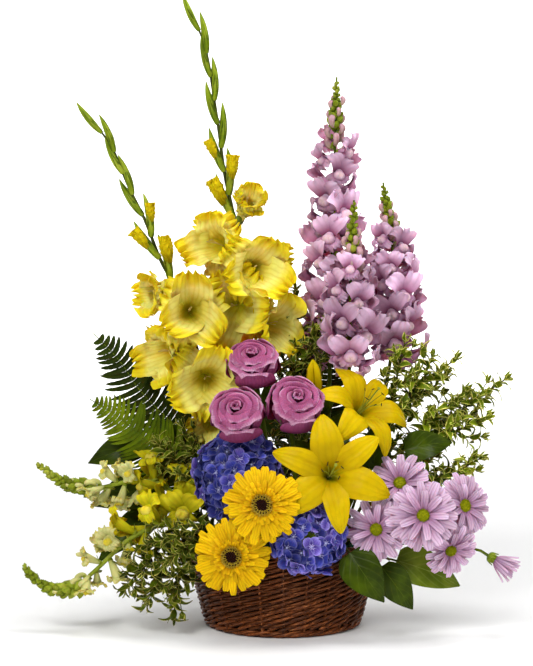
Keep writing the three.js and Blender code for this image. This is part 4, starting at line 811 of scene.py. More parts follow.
def snap_floret(b, root, outward, size, draw, gape, mats=(0, 1, 2), stretch=0.0):
    """A short tube with two broad upper lobes and a puffed lower lip over three small lobes.
    stretch lengthens its tube."""
    outward = unit(outward) + vec(*(draw(-0.16, 0.16) for _ in range(3)))
    f = frame_at(root, outward, draw(-0.3, 0.3))
    up = math.pi / 2
    tone = draw(0, 1)

    def petal_lobe(angle, mid, width, ruffle, cup, lean=0.0):
        """mid and width are shares of the floret's size."""
        petal = blade([(r * size, (z + stretch) * size) for r, z in mid], width * size, 15, 13, (0.66, 0.24),
                      0.12, cup=cup, groove=0.02 * size, ruffle=ruffle * size, waves=1.5,
                      phase=draw(0, TAU), chance=min(1, max(0, tone + draw(-0.15, 0.15))),
                      sway=lean + draw(-0.1, 0.1))
        lay(b, petal, f, angle, mats[0], 0.4)

    stout = 1 + 0.6 * stretch
    neck = [(0.05, 0), (0.11, 0.04), (0.15 * stout, 0.25 + 0.4 * stretch), (0.22 * stout, 0.5 + stretch),
            (0.2 * stout, 0.62 + stretch), (0.03, 0.64 + stretch)]
    lathe(b, f, [(r * size, z * size) for r, z in neck], 12, mats[0], tone)
    for hand in (-1, 1):
        reach = gape * draw(0.85, 1.2)
        angle = up + hand * draw(0.4, 0.6)
        petal_lobe(angle, [(0.1, 0.36), (0.2, 0.62), (0.28 + 0.12 * reach, 0.84), (0.3 + 0.38 * reach, 0.94),
                           (0.3 + 0.72 * reach, 0.86)], 0.8, 0.11, 0.12, hand * 0.2)
    for hand in (-1, 0, 1):
        reach = gape * draw(0.85, 1.15)
        angle = -up + hand * 0.85
        petal_lobe(angle, [(0.08, 0.4), (0.26, 0.56), (0.34 + 0.1 * reach, 0.6), (0.4 + 0.18 * reach, 0.5),
                           (0.42 + 0.22 * reach, 0.32)], 0.46, 0.06, 0.2)
    # the puffed lip, with a furrow down its middle
    u, v, coords = uv_grid(12, 14, tone)
    polar, a = 0.02 + u * 2.4, (v * 0.5 + 0.5) * TAU * 13 / 14
    puff = mix(0.62, 1, min(1, gape))
    x = 0.32 * puff * np.sin(polar) * np.cos(a)
    y = -0.14 - 0.26 * puff * np.sin(polar) * np.sin(a)
    z = stretch + 0.6 + 0.3 * puff * np.cos(polar) * (1 - 0.4 * np.exp(-((x / 0.06) ** 2)))
    b.grid(moved(np.stack([x, y, z], -1) * size, f), coords, mats[1], wrap=True)
    cup = [(0.05, -0.02), (0.13, 0.02), (0.15, 0.12), (0.1, 0.18)]
    lathe(b, f, [(max(0.05, r * size), z * size) for r, z in cup], 8, mats[2], tone)


def pod(b, root, tip, radius, mat, belly, chance):
    """A pointed green bud, widest at belly, a share of its length."""
    axis = tip - root
    length = np.linalg.norm(axis)
    profile = [(0.05, 0), (radius * 0.75, length * belly * 0.4), (radius, length * belly),
               (radius * 0.62, length * mix(belly, 1, 0.55)), (0.05, length)]
    lathe(b, frame_at(root, axis), profile, 8, mat, chance)


def hooked_bud(b, root, out, along, length, radius, mat, chance):
    """A bud that swells towards its end and hooks back up along the stem."""
    hook = [root, root + out * length * 0.45 + along * length * 0.15,
            root + out * length * 0.6 + along * length * 0.55,
            root + out * length * 0.28 + along * length * 0.85]

    def swell(t):
        return radius * (0.5 + 0.55 * t) * math.sqrt(max(0.02, 1 - (max(0, t - 0.62) / 0.38) ** 2))

    tube(b, hook, swell, 9, 12, mat, chance)


def spiral(line, count, start, end, radius):
    """Places in a spiral round a stem: their share of it, the two directions and the point."""
    for k in range(count):
        at, along, out = line.node(mix(start, end, k / (count - 1)), k * GOLDEN)
        yield k / count, along, out, at + out * radius


def bud_cone(b, line, count, start, size, mat, draw, press=0.5):
    """Green buds, crowded towards the tip of a spike; a larger press lays them along it."""
    for k in range(count):
        share = k / (count - 1)
        at, along, out = line.node(mix(start, 0.985, share), k * GOLDEN)
        reach = size * mix(1, 0.42, share) * draw(0.75, 1.2)
        root = at + out * 0.8
        tip = root + unit(out + along * mix(press, press + 0.8, share)) * reach
        slim = press / 1.4
        pod(b, root, tip, reach * mix(0.42, 0.3, slim), mat, mix(0.6, 0.45, slim), draw(0, 1))
        tip = root + unit(out * 1.3 + along * press) * reach * 0.9
        bract(b, root - along * reach * 0.3, tip, along, reach * 0.34, mat, draw(0, 1))


def snapdragon(path, start, end, size, florets, buds, name, seed):
    """A stem with its buds, and its head of florets as a second piece."""
    draw = random.Random(seed).uniform
    line = Line(path)
    b = Build()
    for share, along, out, root in spiral(line, florets, start, end, 2.5):
        outward = out + along * mix(-0.15, 0.35, share) + vec(0, -0.15, 0)
        grown = mix(1.04, 0.72, share**2) * draw(0.88, 1.12)
        snap_floret(b, root, outward, size * grown, draw, mix(1.05, 0.7, share**2))
    for share, along, out, root in spiral(line, 15, end - 0.015, end + 0.09, 2):
        length = size * mix(0.6, 0.3, share) * draw(0.85, 1.15)
        hooked_bud(b, root, out, along, length, length * 0.31, 3, draw(0, 1))
        lathe(b, frame_at(root, out + along * 0.4), [(0.05, -1), (2.6, 0.5), (3.0, 3), (2.2, 4.6)], 8, 2)
    b.piece(name + "_head", "snapdragon_petal snapdragon_palate green_bud snapdragon_bud",
            name + "_florets")
    b = Build()
    tube(b, line, (3.2, 1.2), 9, 40, 0)
    bud_cone(b, line, buds, end + 0.03, size * 0.44, 1, draw)
    b.piece(name + "_stem_fine", "green_stem green_bud", name + "_stem")


def open_spike(path, start, end, size, florets, buds, name, seed):
    """A bent spike with loose florets, yellow near the basket and cream further out."""
    draw = random.Random(seed).uniform
    line = Line(path)
    b = Build()
    tube(b, line, (3.6, 1.8), 9, 60, 2)
    for share, along, out, root in spiral(line, florets, start, end, 1.5):
        outward = out * vec(1.2, 0.4, 1.1) + along * draw(0.3, 0.8) + vec(0, -0.1, 0.2)
        grown = size * mix(1.25, 0.8, share) * draw(0.88, 1.1)
        petals = 4 if share < 0.5 else 0
        snap_floret(b, root, outward, grown, draw, mix(0.7, 0.12, share), (petals, 3, 1), 0.5)
        bract(b, root, root + unit(out - along * 0.3) * 12, along, 5, 1, draw(0, 1))
    for share, along, out, root in spiral(line, 14, end, end + 0.13, 1.2):
        length = size * mix(0.75, 0.35, share)
        hooked_bud(b, root, out, along, length, length * 0.27, 0 if draw(0, 1) < 0.6 else 1, draw(0, 1))
        lathe(b, frame_at(root, out + along * 0.7), [(0.05, -1), (2.4, 0.5), (2.8, 3), (2.0, 4.4)], 8, 1)
    bud_cone(b, line, buds, end + 0.03, size * 0.68, 1, draw, 0.95)
    b.piece(name + "_fine", "pale_snapdragon green_bud pale_stem pale_palate yellow_snapdragon",
            name)


def gladiolus_stem(path, buds, spacing, length, name, seed):
    """Slim pointed sheaths, left and right in turn. The lowest show the ruffled tip of a bloom."""
    draw = random.Random(seed).uniform
    line = Line(path)
    b = Build()
    tube(b, line, (4.4, 1.2), 10, 60, 0)
    for k in range(buds):
        t = 1 - (k * spacing + length * 0.3) / line.length
        root, along = line.at(t), line.along(t)
        side = unit(np.cross(along, vec(0, -1, 0))) * (1 if k % 2 else -1)
        lean = mix(0.05, 0.24, k / buds)
        reach = length * mix(0.86, 1, k / buds)
        tip = root + along * reach + side * lean * reach
        bow = side * reach * 0.04
        body = Line([root, mix(root, tip, 0.35) + bow, mix(root, tip, 0.7) + bow * 0.9, tip])
        thick = mix(4.8, 6.6, k / buds)

        def swell(t):
            return thick * ((t + 0.06) ** 0.45 * (1.0 - t) ** 0.8 / 0.62 + 0.03)

        tube(b, body, swell, 10, 20, 1, draw(0, 1))
        for hand, cover, droop in ((1, 0.8, 4.2), (-1, 1.0, 1.5)):
            up = side * hand + vec(0, -0.6, 0)
            leaf(b, root + side * hand, body.at(cover) + side * hand * 0.6, up, thick * 2.3, 1, 16, 7, droop,
                 0, fold=-0.5, ends=(0.45, 1.0), chance=draw(0, 1), thick=0.4)
        low = k - (buds - 4)  # 1 to 3 for the buds that show the tip of a bloom
        if low > 0:
            crest = frame_at(body.at(0.36) + side * 1.5 + vec(0, -2.5, 0), tip - root + side * reach * 0.1)
            size = reach * mix(0.32, 0.58, low / 3)
            for j in range(9):
                out = size * (0.2 if j < 6 else 0.1)
                mid = [(0.6, -2), (out, size * 0.35), (out * 1.15, size * 0.75),
                       (out * draw(0.5, 1.3), size)]
                petal = blade(mid, size * 0.42, 22, 17, (0.4, 0.3), cup=0.4, ruffle=draw(1.4, 2.4), waves=4,
                              frill=1.6, phase=draw(0, TAU), chance=draw(0, 1))
                lay(b, petal, crest, j * TAU / 6, 2, 0.4)
    b.piece(name + "_spike", "dark_stem bract gladiolus_crest", name + "_stem")


# ---------------------------------------------------------------- foliage
def frond(path, start, reach, facing, name, mat, seed):
    """Smooth slender leaflets set close along the rib, each curving towards the frond's tip."""
    draw = random.Random(seed).uniform
    line = Line(path)
    b = Build()
    tube(b, line, (1.8, 0.6), 6, 40, 1)
    pairs, end = 30, 0.985
    pitch = line.length * (end - start) / pairs
    for k in range(pairs):
        t = mix(start, end, k / pairs)
        at, along = line.at(t), line.along(t)
        side = unit(np.cross(along, facing))
        up = np.cross(side, along)
        length = reach * math.sin(math.pi * mix(0.3, 0.985, (k + 0.5) / pairs)) ** 0.8 + 2
        for hand in (1, -1):
            size = length * draw(0.92, 1.04)
            bend, sink = draw(0.2, 0.48), draw(0.05, 0.24)
            u, v, coords = uv_grid(16, 5, draw(0, 1))
            climb = 0.1 + 2 * bend * u
            across = (along - side * hand * climb[..., None]) / np.sqrt(1 + climb**2)[..., None]
            half = pitch * 0.6 * (u + 0.02) ** 0.1 * (1.001 - u) ** 0.45 * (1 + 0.06 * np.sin(26 * u))
            run = side * hand * u[..., None] + along * (0.1 * u + bend * u**2)[..., None]
            height = 1.6 * np.sin(math.pi * u) - sink * size * u**2 + 0.3 * np.abs(v) * half
            points = at + run * size + across * (v * half)[..., None] + up * height[..., None]
            b.grid(points, coords, 0, 0.4)
    b.piece(name + "_frond", mat + " green_stem", name)


def broad_sprig(path, leaves, name, seed):
    """A woody twig with a few large glossy leaves on short stalks."""
    draw = random.Random(seed).uniform
    line = Line(path)
    b = Build()
    tube(b, line, (2.4, 1.4), 7, 20, 1)
    for on, root, tip, up, width, mat in leaves:
        start, root, tip = line.at(on), vec(*root), vec(*tip)
        tube(b, [start, mix(start, root, 0.5), root + (tip - root) * 0.04], 1.2, 6, 6, 1)
        leaf(b, root, tip, vec(*up), width, mat, 26, 13, droop=7, wave=1.8, waves=1.3, fold=0.22,
             ends=(0.5, 1.05), chance=draw(0, 1), thick=0.7, curl=-0.06)
    b.piece(name + "_sprig", "salal_leaf woody_twig salal_underside", name)


def twig_leaves(b, line, start, leaf_size, tone, draw, spacing=6.2):
    """Pairs of narrow pointed leaves, each pair turned against the last, that curl back."""
    count = int(line.length * (1 - start) / spacing)
    for k in range(count):
        t = mix(start, 0.99, k / max(1, count - 1))
        for j in range(2):
            at, along, out = line.node(t, k * 1.4 + j * math.pi + draw(-0.4, 0.4))
            size = leaf_size * mix(1.05, 0.7, t) * draw(0.7, 1.2)
            root = at + out * 0.8
            tip = root + unit(out * draw(0.6, 1.1) + along * draw(0.3, 1.0)) * size
            leaf(b, root, tip, along + out * 0.2, size * draw(0.38, 0.5), 0, 9, 5,
                 droop=size * draw(0.05, 0.22), wave=size * 0.05, waves=1.0, fold=0.4,
                 ends=(0.5, 0.75), chance=draw(*tone), thick=0.35, curl=draw(-1.2, 0.1))
    for j in range(3):
        tip, along, out = line.node(1, j * 2.1)
        leaf(b, tip - along * 2, tip + (along + out * 0.5) * leaf_size * 0.5, out, leaf_size * 0.22, 0,
             7, 5, 1, 0.5, chance=draw(*tone), thick=0.35)


def side_twigs(b, line, start, leaf_size, tone, draw, spacing):
    """Short shoots that leave a twig in turn, longer near its foot."""
    count = int(line.length * (0.92 - start) / spacing)
    for k in range(count):
        t = mix(start, 0.9, (k + 0.5) / count)
        root, along, out = line.node(t, k * GOLDEN + draw(-0.3, 0.3))
        length = mix(48, 11, t) * draw(0.8, 1.15)
        bend, end = out * 0.4 + along * 0.35, out * 0.62 + along * 0.85
        shoot = Line([root, root + bend * length, root + end * length])
        tube(b, shoot, (0.9, 0.5), 5, 8, 1)
        twig_leaves(b, shoot, 0.15, leaf_size * 0.92, tone, draw, 5.8)


def leafy_spray(twigs, start, leaf_size, tone, name, seed):
    """A main twig with branches, all with side shoots. tone is the range of its leaves' lightness."""
    draw = random.Random(seed).uniform
    b = Build()
    main = Line(twigs[0])
    tube(b, main, (1.9, 0.9), 6, 30, 1)
    twig_leaves(b, main, start * 0.7, leaf_size, tone, draw)
    side_twigs(b, main, start * 0.5, leaf_size, tone, draw, 10)
    for points in twigs[1:]:
        line = Line([main.nearest(points[0], 80), *points[1:]])
        tube(b, line, (1.4, 0.7), 6, 24, 1)
        twig_leaves(b, line, 0.15, leaf_size, tone, draw)
        side_twigs(b, line, 0.12, leaf_size, tone, draw, 12)
    b.piece(name + "_spray", "variegated_leaf woody_twig", name)


# ---------------------------------------------------------------- where everything stands
DEPTH = 76.0  # where most stems end in the foam
# each floret: a point near the stem, the middle of its mouth, radius, spin and how far it is open
GLADIOLI = {
    "left": dict(
        path=[(-30, 12, DEPTH), (-44, 12, 119), (-71, 22, 224), (-97, 28, 306), (-125, 30, 388),
              (-144, 32, 425), (-161, 34, 469), (-181, 36, 510), (-199, 38, 553), (-221, 40, 584)],
        buds=8, spacing=27, length=54,
        florets=[((-124, 27, 383), (-150, -6, 385), 28, 0.2, 0.8),
                 ((-117, 25, 362), (-103, -44, 368), 42, 0.5, 1),
                 ((-103, 24, 322), (-138, -12, 316), 34, 0.1, 1),
                 ((-94, 24, 294), (-86, -38, 288), 45, 0.4, 1),
                 ((-77, 20, 246), (-84, -18, 235), 28, 0, 1)]),
    "right": dict(
        path=[(-12, 20, DEPTH), (-24, 20, 117), (-31, 30, 223), (-43, 40, 340), (-52, 45, 434),
              (-58, 48, 475), (-68, 50, 522), (-75, 52, 574), (-82, 54, 621), (-90, 56, 668),
              (-104, 59, 706)],
        buds=9, spacing=28, length=56,
        florets=[((-57, 44, 462), (-38, 14, 492), 29, 0.3, 0.6),
                 ((-53, 41, 436), (-82, -2, 443), 36, 0.6, 1),
                 ((-50, 40, 412), (-30, -24, 414), 42, 0.2, 1),
                 ((-47, 38, 374), (-58, -6, 369), 48, 1.0, 1),
                 ((-44, 36, 352), (-8, 0, 348), 37, 0.3, 1)]),
}
# path, share where the florets start and end, size of a floret, number of florets, number of buds
SNAPDRAGONS = {
    "tall": ([(28, 30, DEPTH), (50, 38, 180), (56, 38, 316), (59, 42, 457), (63, 45, 636)],
             0.42, 0.86, 29, 28, 30),
    "middle": ([(46, -6, DEPTH), (69, -18, 200), (77, -24, 316), (77, -24, 380), (81, -24, 494)],
               0.56, 0.82, 28, 17, 24),
    "right": ([(54, 28, DEPTH), (104, 36, 200), (130, 42, 328), (130, 45, 422), (118, 50, 513)],
              0.56, 0.85, 27, 21, 26),
}
PALE_SNAPDRAGONS = {
    "upper": ([(-46, -14, DEPTH + 6), (-119, -30, 151), (-147, -30, 169), (-179, -30, 170),
               (-217, -30, 163), (-252, -30, 170), (-284, -30, 191)], 0.3, 0.7, 22, 14, 44),
    "lower": ([(-50, -36, DEPTH + 8), (-107, -42, 133), (-152, -52, 119), (-177, -58, 107), (-215, -60, 72),
               (-240, -60, 52), (-261, -60, 50), (-282, -60, 61), (-297, -60, 79)], 0.26, 0.7, 22, 14, 44),
}
# from here on a bloom is its place, the way it faces and its radius, then what is its own
# roses: where the stem ends in the foam and a point it passes
ROSES = {
    "top": ((-35, -58, 313), (-0.12, -0.58, 0.8), 33, (-6, -20, DEPTH), (-18, -16, 200)),
    "left": ((-52, -94, 258), (-0.15, -0.75, 0.65), 33, (-24, -28, DEPTH), (-34, -24, 200)),
    "right": ((14, -84, 268), (0.12, -0.74, 0.66), 35, (12, -34, DEPTH), (14, -36, 180)),
}
# depth of the dome, end of its neck
HYDRANGEAS = {
    "upper": ((-53, -69, 184), (-0.3, -0.9, 0.3), 52, 30, (-36, -36, DEPTH + 6)),
    "lower": ((27, -118, 122), (0.12, -0.94, 0.3), 44, 22, (18, -52, DEPTH + 8)),
}
# depth, end of the stem, a point it passes
GERBERAS = {
    "upper": ((-24, -140, 161), (-0.02, -1, 0.12), 44, 3, (-14, -48, DEPTH + 6), (-20, -92, 134)),
    "lower": ((-57, -127, 101), (-0.12, -1, 0.05), 44, 3, (-38, -56, DEPTH + 8), (-46, -94, 119)),
}
# spin, depth of the throat, how far the tepals roll back
LILIES = {
    "front": ((53, -122, 194), (0.05, -0.95, 0.3), 68, 0.14, 34, 0.5),
    "side": ((94, -61, 263), (0.45, -0.62, 0.62), 60, 0.1, 34, 0.8),
}
LILY_BUD = ((37, -34, 268), (34, -36, 312))
LILY_ENTRY, LILY_VIA, LILY_HUB = (32, -40, DEPTH), (40, -42, 120), (46, -44, 170)
# radius of the disc, depth
DAISIES = {
    "left": ((104, -113, 129), (-0.2, -0.97, 0.1), 37, 8, 2.4),
    "middle": ((154, -134, 148), (0.05, -0.97, 0.2), 41, 8, 2.4),
    "back": ((131, -92, 177), (-0.1, -0.85, 0.5), 38, 8, 2.4),
    "right": ((202, -98, 153), (0.5, -0.82, 0.2), 37, 8, 2.4),
    "low": ((186, -114, 106), (0.2, -0.94, -0.2), 32, 7, 2.4),
    "bud": ((236, -81, 91), (0.85, -0.2, -0.5), 17, 6, 4),
}
DAISY_ENTRY, DAISY_HUB = (58, -40, DEPTH + 4), (96, -70, 118)
# path, share where the leaflets start, their longest reach, the way the frond faces
FRONDS = {
    "fern_dark": ([(-16, 34, DEPTH), (-60, 34, 150), (-103, 28, 202), (-148, 26, 249), (-170, 27, 273),
                   (-191, 29, 304), (-222, 30, 337)], 0.4, 44, (0, -1, 0.15)),
    "fern_light": ([(-44, 4, DEPTH + 8), (-80, -4, 140), (-112, -8, 182), (-149, -8, 208), (-167, -8, 223),
                    (-193, -6, 244), (-224, -4, 263)], 0.42, 38, (-0.1, -1, 0.1)),
    "fern_back": ([(20, 62, DEPTH), (34, 92, 170), (44, 104, 260), (66, 100, 345)], 0.24, 46, (0.1, 1, 0.2)),
}


# path of the twig, then a leaf: share of the twig it leaves at, root, tip, the way its face looks,
# width and whether it is dark (0) or light (2)
BROAD_SPRIGS = {
    "salal_left": ([(-44, 24, DEPTH + 8), (-96, 16, 140), (-130, 14, 176), (-150, 16, 206)], [
        (0.97, (-160, 16, 212), (-228, 12, 186), (0.1, -0.95, 0.3), 38, 0),
        (0.75, (-146, 8, 160), (-224, 0, 138), (0, -0.9, 0.45), 48, 0),
        (0.55, (-150, -2, 130), (-214, -22, 76), (0, -0.85, 0.5), 38, 0),
        (0.6, (-108, 14, 196), (-150, 16, 240), (0, -1, 0), 34, 0)]),
    "salal_upper_right": ([(62, -16, DEPTH + 8), (96, -24, 150), (120, -26, 190), (134, -24, 204)], [
        (0.97, (140, -24, 206), (196, -14, 214), (0, -0.9, 0.4), 36, 0),
        (0.8, (104, -36, 186), (112, -44, 246), (-0.2, -1, 0.2), 40, 0)]),
    "salal_lower_right": ([(54, -56, DEPTH + 8), (74, -90, 114), (96, -96, 104), (120, -88, 90)], [
        (0.35, (74, -112, 102), (112, -122, 48), (-0.2, -0.95, 0.35), 46, 0),
        (0.7, (110, -98, 84), (146, -94, 34), (0, -0.95, 0.3), 38, 0),
        (0.97, (128, -82, 88), (202, -66, 56), (0, -0.9, 0.5), 46, 2)]),
    "salal_back": ([(0, 66, DEPTH + 10), (4, 100, 122), (0, 112, 160), (-6, 112, 200)], [
        (0.98, (-6, 116, 204), (-14, 122, 280), (0, 1, 0.2), 46, 0),
        (0.5, (-26, 118, 150), (-92, 128, 176), (0, 0.95, 0.3), 46, 0),
        (0.6, (26, 118, 156), (92, 122, 186), (0, 0.95, 0.3), 46, 0),
        (0.25, (-24, 118, 110), (-84, 124, 76), (0, 0.95, 0.4), 44, 0),
        (0.25, (32, 118, 110), (88, 122, 78), (0, 0.95, 0.4), 44, 0)]),
}
# main twig and its branches, share of it where leaves start, size of a leaf
LEAFY_SPRAYS = {
    "variegated_centre": ([[(8, 48, DEPTH), (8, 44, 200), (10, 30, 300), (16, 20, 390)],
                           [(12, 38, 270), (30, 14, 310), (44, 6, 352)],
                           [(8, 40, 230), (20, 10, 285), (32, -8, 322)]], 0.42, 20),
    "variegated_upper_right": ([[(66, 22, DEPTH + 6), (104, 14, 190), (150, 12, 262), (202, 10, 310)],
                                [(110, 14, 200), (128, -6, 270), (141, -8, 331)],
                                [(140, 12, 250), (160, 0, 280), (174, 2, 312)]], 0.4, 20),
    "variegated_lower_right": ([[(74, 8, DEPTH + 6), (124, 10, 160), (190, 14, 232), (260, 12, 285)],
                                [(160, 12, 200), (206, 4, 226), (238, 0, 243)],
                                [(130, 10, 168), (186, -6, 172), (228, -20, 196)],
                                [(150, 12, 190), (176, 14, 236), (214, 10, 272)]], 0.38, 20),
    "variegated_upper_left": ([[(-36, -4, DEPTH + 4), (-78, -24, 150), (-100, -30, 200), (-116, -30, 236)],
                               [(-84, -25, 160), (-118, -34, 188), (-142, -36, 216)]], 0.42, 19),
    "variegated_lower_left": ([[(-38, -46, DEPTH + 8), (-84, -82, 122), (-112, -84, 84), (-125, -72, 22)],
                               [(-88, -84, 120), (-130, -88, 92), (-156, -74, 36)],
                               [(-86, -84, 122), (-132, -80, 112), (-180, -78, 54)]], 0.4, 20),
}


def behind(at, facing, distance):
    return vec(*at) - unit(facing) * distance


def bloom_stem(b, at, facing, entry, via, turn, seat, radius):
    tube(b, [entry, via, behind(at, facing, turn), behind(at, facing, seat)], radius, 9, 24, 0)


# ---------------------------------------------------------------- putting it together
basket()

for side, spec in GLADIOLI.items():
    name = f"gladiolus_{side}"
    gladiolus_stem(spec["path"], spec["buds"], spec["spacing"], spec["length"], name, len(side))
    line = Line(spec["path"])
    for k, (near, mouth, radius, spin, opening) in enumerate(spec["florets"]):
        seat = line.nearest(near)
        seat = seat + unit(vec(*mouth) - seat) * 3.5
        b = Build()
        gladiolus_floret(b, seat, mouth, radius, spin, opening, 10 * len(side) + k)
        b.piece(f"{name}_bloom_{k + 1}", "gladiolus_petal filament bract",
                f"{name}_floret_{k + 1}")

for side, (path, start, end, size, count, buds) in SNAPDRAGONS.items():
    snapdragon(path, start, end, size, count, buds, f"snapdragon_{side}", len(side) * 3)
for side, (path, start, end, size, florets, buds) in PALE_SNAPDRAGONS.items():
    open_spike(path, start, end, size, florets, buds, f"yellow_snapdragon_{side}", ord(side[0]))

for k, (side, (at, facing, radius, entry, via)) in enumerate(ROSES.items()):
    b = Build()
    rose(b, at, facing, radius, 20 + k)
    b.piece(f"rose_{side}_bloom", "rose_petal", f"rose_{side}")
    b = Build()
    bloom_stem(b, at, facing, entry, via, 1.25 * radius, 0.78 * radius, 3.2)
    sepals(b, at, facing, radius, k)
    b.piece(f"rose_{side}_stem_fine", "green_stem", f"rose_{side}_stem")

for k, (side, (at, facing, radius, deep, neck)) in enumerate(HYDRANGEAS.items()):
    b = Build()
    hydrangea(b, at, facing, radius, deep, neck, 30 + k)
    b.piece(f"hydrangea_{side}_head", "hydrangea_petal hydrangea_eye green_stem",
            f"hydrangea_{side}")

for k, (side, (at, facing, radius, depth, entry, via)) in enumerate(GERBERAS.items()):
    b = Build()
    gerbera(b, at, facing, radius, depth, 40 + k)
    b.piece(f"gerbera_{side}_bloom", "gerbera_ray gerbera_fringe gerbera_disc gerbera_ring",
            f"gerbera_{side}")
    b = Build()
    bloom_stem(b, at, facing, entry, via, 26, depth, 3.0)
    m = frame_at(at, facing)
    lathe(b, m, [(0.05, -14), (3.2, -13), (6.5, -7), (9.5, -3), (0.1, -2)], 14, 0)
    bracts = 16
    for j in range(bracts):
        bract = blade([(5, -9), (9, -4.5), (15, -1.2)], 4, 6, 3, (0.3, 0.9), chance=j / bracts)
        lay(b, bract, m, j * TAU / bracts)
    b.piece(f"gerbera_{side}_stem_fine", "green_stem", f"gerbera_{side}_stem")

b = Build()
hub = vec(*LILY_HUB)
tube(b, [LILY_ENTRY, LILY_VIA, hub], 4.0, 10, 20, 0)
for k, (side, (at, facing, radius, spin, throat, curl)) in enumerate(LILIES.items()):
    bend = mix(hub, behind(at, facing, throat * 1.5), 0.7)
    tube(b, [hub, bend, behind(at, facing, throat)], 2.8, 8, 16, 0)
    bloom = Build()
    lily(bloom, at, facing, radius, spin, throat, curl, 50 + k)
    bloom.piece(f"lily_{side}_bloom", "lily_tepal green_filament anther", f"lily_{side}")
root, tip = (vec(*p) for p in LILY_BUD)
line = Line([hub, mix(hub, root, 0.6) + (4, 4, 0), root])
tube(b, line, 2.4, 8, 14, 0)
lily_leaves = 13
for k in range(lily_leaves):
    share = k / (lily_leaves - 1)
    out = unit(vec(math.cos(k * GOLDEN), 0.3 * math.sin(k * GOLDEN), mix(0.2, 0.9, share)))
    start = line.at(mix(0.02, 0.9, share))
    leaf(b, start, start + out * mix(52, 34, share), (0.2, -1, 0.3), mix(17, 11, share), 1, 14, 7, 4, 0.8,
         ends=(0.5, 0.9), chance=(k * 0.37) % 1)
b.piece("lily_stem_fine", "green_stem salal_leaf", "lily_stem")
b = Build()
axis = tip - root
length = np.linalg.norm(axis)
m = frame_at(root, axis)
core = [(0.05, 0.3), (3, 2), (6.6, length * 0.3), (7, length * 0.5), (4.9, length * 0.8), (0.05, length)]
lathe(b, m, core, 12, 0)
mid = [(2, 1), (7.2, length * 0.32), (7.4, length * 0.5), (5.2, length * 0.8), (0.6, length * 0.995)]
for k in range(6):
    lay(b, blade(mid, 8.4, 12, 5, (0.5, 0.6), cup=-0.28, chance=k / 6), m, k * TAU / 6, 0, 0.4)
b.piece("lily_bud_fine", "lily_tepal", "lily_bud")

b = Build()
trunk = Line([DAISY_ENTRY, mix(vec(*DAISY_ENTRY), vec(*DAISY_HUB), 0.5) + (0, 0, 8), DAISY_HUB])
tube(b, trunk, 2.6, 8, 20, 0)
order = ["left", "middle", "back", "right", "low", "bud"]
for k, side in enumerate(order):
    at, facing, radius, disc, depth = DAISIES[side]
    fork = trunk.at(mix(0.98, 0.55, k / 5))
    tube(b, [fork, behind(at, facing, 16), behind(at, facing, depth)], 1.7, 7, 16, 0)
    bloom = Build()
    daisy(bloom, at, facing, radius, disc, depth, 60 + k, side == "bud")
    bloom.piece(f"daisy_{side}_bloom", "daisy_ray daisy_disc bract", f"daisy_{side}")
b.piece("daisy_stems_fine", "green_stem", "daisy_stems")

for k, (name, (path, start, reach, facing)) in enumerate(FRONDS.items()):
    green = "fern_light" if name == "fern_light" else "fern_dark"
    frond(path, start * 0.85, reach, facing, name, green, 70 + k)
for k, (name, (path, leaves)) in enumerate(BROAD_SPRIGS.items()):
    broad_sprig(path, leaves, name, 80 + k)
for k, (name, (twigs, start, size)) in enumerate(LEAFY_SPRAYS.items()):
    tone = (0.6, 1.0) if "right" in name else (0.0, 0.55)
    leafy_spray(twigs, start, size, tone, name, 90 + k)

for node, mat in (("liner", "liner_plastic"), ("floral_foam", "floral_foam")):
    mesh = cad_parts[node].data
    mesh.materials.clear()
    mesh.materials.append(MAT[mat])


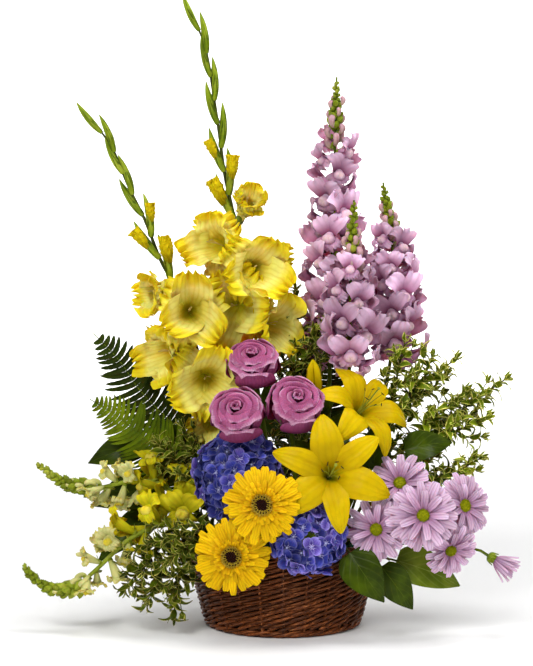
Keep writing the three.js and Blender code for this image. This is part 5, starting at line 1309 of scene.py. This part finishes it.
# ---------------------------------------------------------------- floor, light and camera
def stage_sheet():
    """The floor, flat round the basket, which curves up far behind into the backdrop."""
    back, bow, half_width, top = 3, 2.6, 9, 8
    flat = [(y, 0) for y in (-6, -3, 0, back)]
    bend = [(back + bow * math.sin(a), bow - bow * math.cos(a)) for a in np.linspace(0.1, math.pi / 2, 20)]
    profile = flat + bend + [(back + bow, top)]
    verts = [(x, y, z) for y, z in profile for x in (-half_width, half_width)]
    faces = [(2 * i, 2 * i + 1, 2 * i + 3, 2 * i + 2) for i in range(len(profile) - 1)]
    mesh = bpy.data.meshes.new("floor")
    mesh.from_pydata(verts, [], faces)
    mesh.polygons.foreach_set("use_smooth", [True] * len(faces))
    mesh.materials.append(MAT["pale_floor"])
    obj = bpy.data.objects.new("floor", mesh)
    bpy.context.scene.collection.objects.link(obj)


def area_light(name, at, aim, size, watts, colour=(1, 1, 1)):
    """A round lamp at one point that shines on another, both in metres."""
    light = bpy.data.lights.new(name, "AREA")
    light.shape = "DISK"
    light.size = size
    light.energy = watts
    light.color = colour
    obj = bpy.data.objects.new(name, light)
    bpy.context.scene.collection.objects.link(obj)
    obj.matrix_world = Matrix(frame_at(vec(*at), vec(*at) - aim).tolist())


floor = Surface("pale_floor", Roughness=0.7, Specular_IOR_Level=0.2)
tone = floor.ramp(floor.span(floor.noise(3, 2), 0.3, 0.7), "0 f4f4f4, 1 f9f9f9")
floor.done(tone, (0.65, 0.75), 8)
stage_sheet()

world = bpy.data.worlds.new("soft_white")
bpy.context.scene.world = world
world.use_nodes = True
sky = world.node_tree.nodes["Background"].inputs
sky["Color"].default_value = (1, 1, 1, 1)
sky["Strength"].default_value = 0.24
area_light("key", (-1.1, -2.4, 2.3), (0, 0, 0.35), 1.2, 66, (1, 0.995, 0.985))
area_light("top", (0.5, -0.3, 2.6), (0, 0, 0.2), 1.4, 40)
area_light("fill", (2.0, -1.6, 1.0), (0, 0, 0.3), 1.6, 9)
for side, x in (("left", -2.2), ("right", 2.2)):
    area_light(f"backdrop_{side}", (x, 2.4, 2.2), (x * 0.3, 5.4, 1.2), 1.8, 150)

# the camera as worked out from the photo: lengths in its pixels, place in metres
PHOTO_HEIGHT, FOCAL_LENGTH = 666, 2251
DOWN_TILT = 4.684
SENSOR = 36
camera = bpy.data.objects.new("camera", bpy.data.cameras.new("camera"))
bpy.context.scene.collection.objects.link(camera)
camera.location = (-0.019, -2.6, 0.55265)
camera.rotation_euler = (math.radians(90 - DOWN_TILT), 0, 0)
camera.data.sensor_width = SENSOR
camera.data.lens = SENSOR * FOCAL_LENGTH / PHOTO_HEIGHT
camera.data.clip_end = 50
bpy.context.scene.camera = camera
bpy.context.scene.view_settings.view_transform = "Standard"
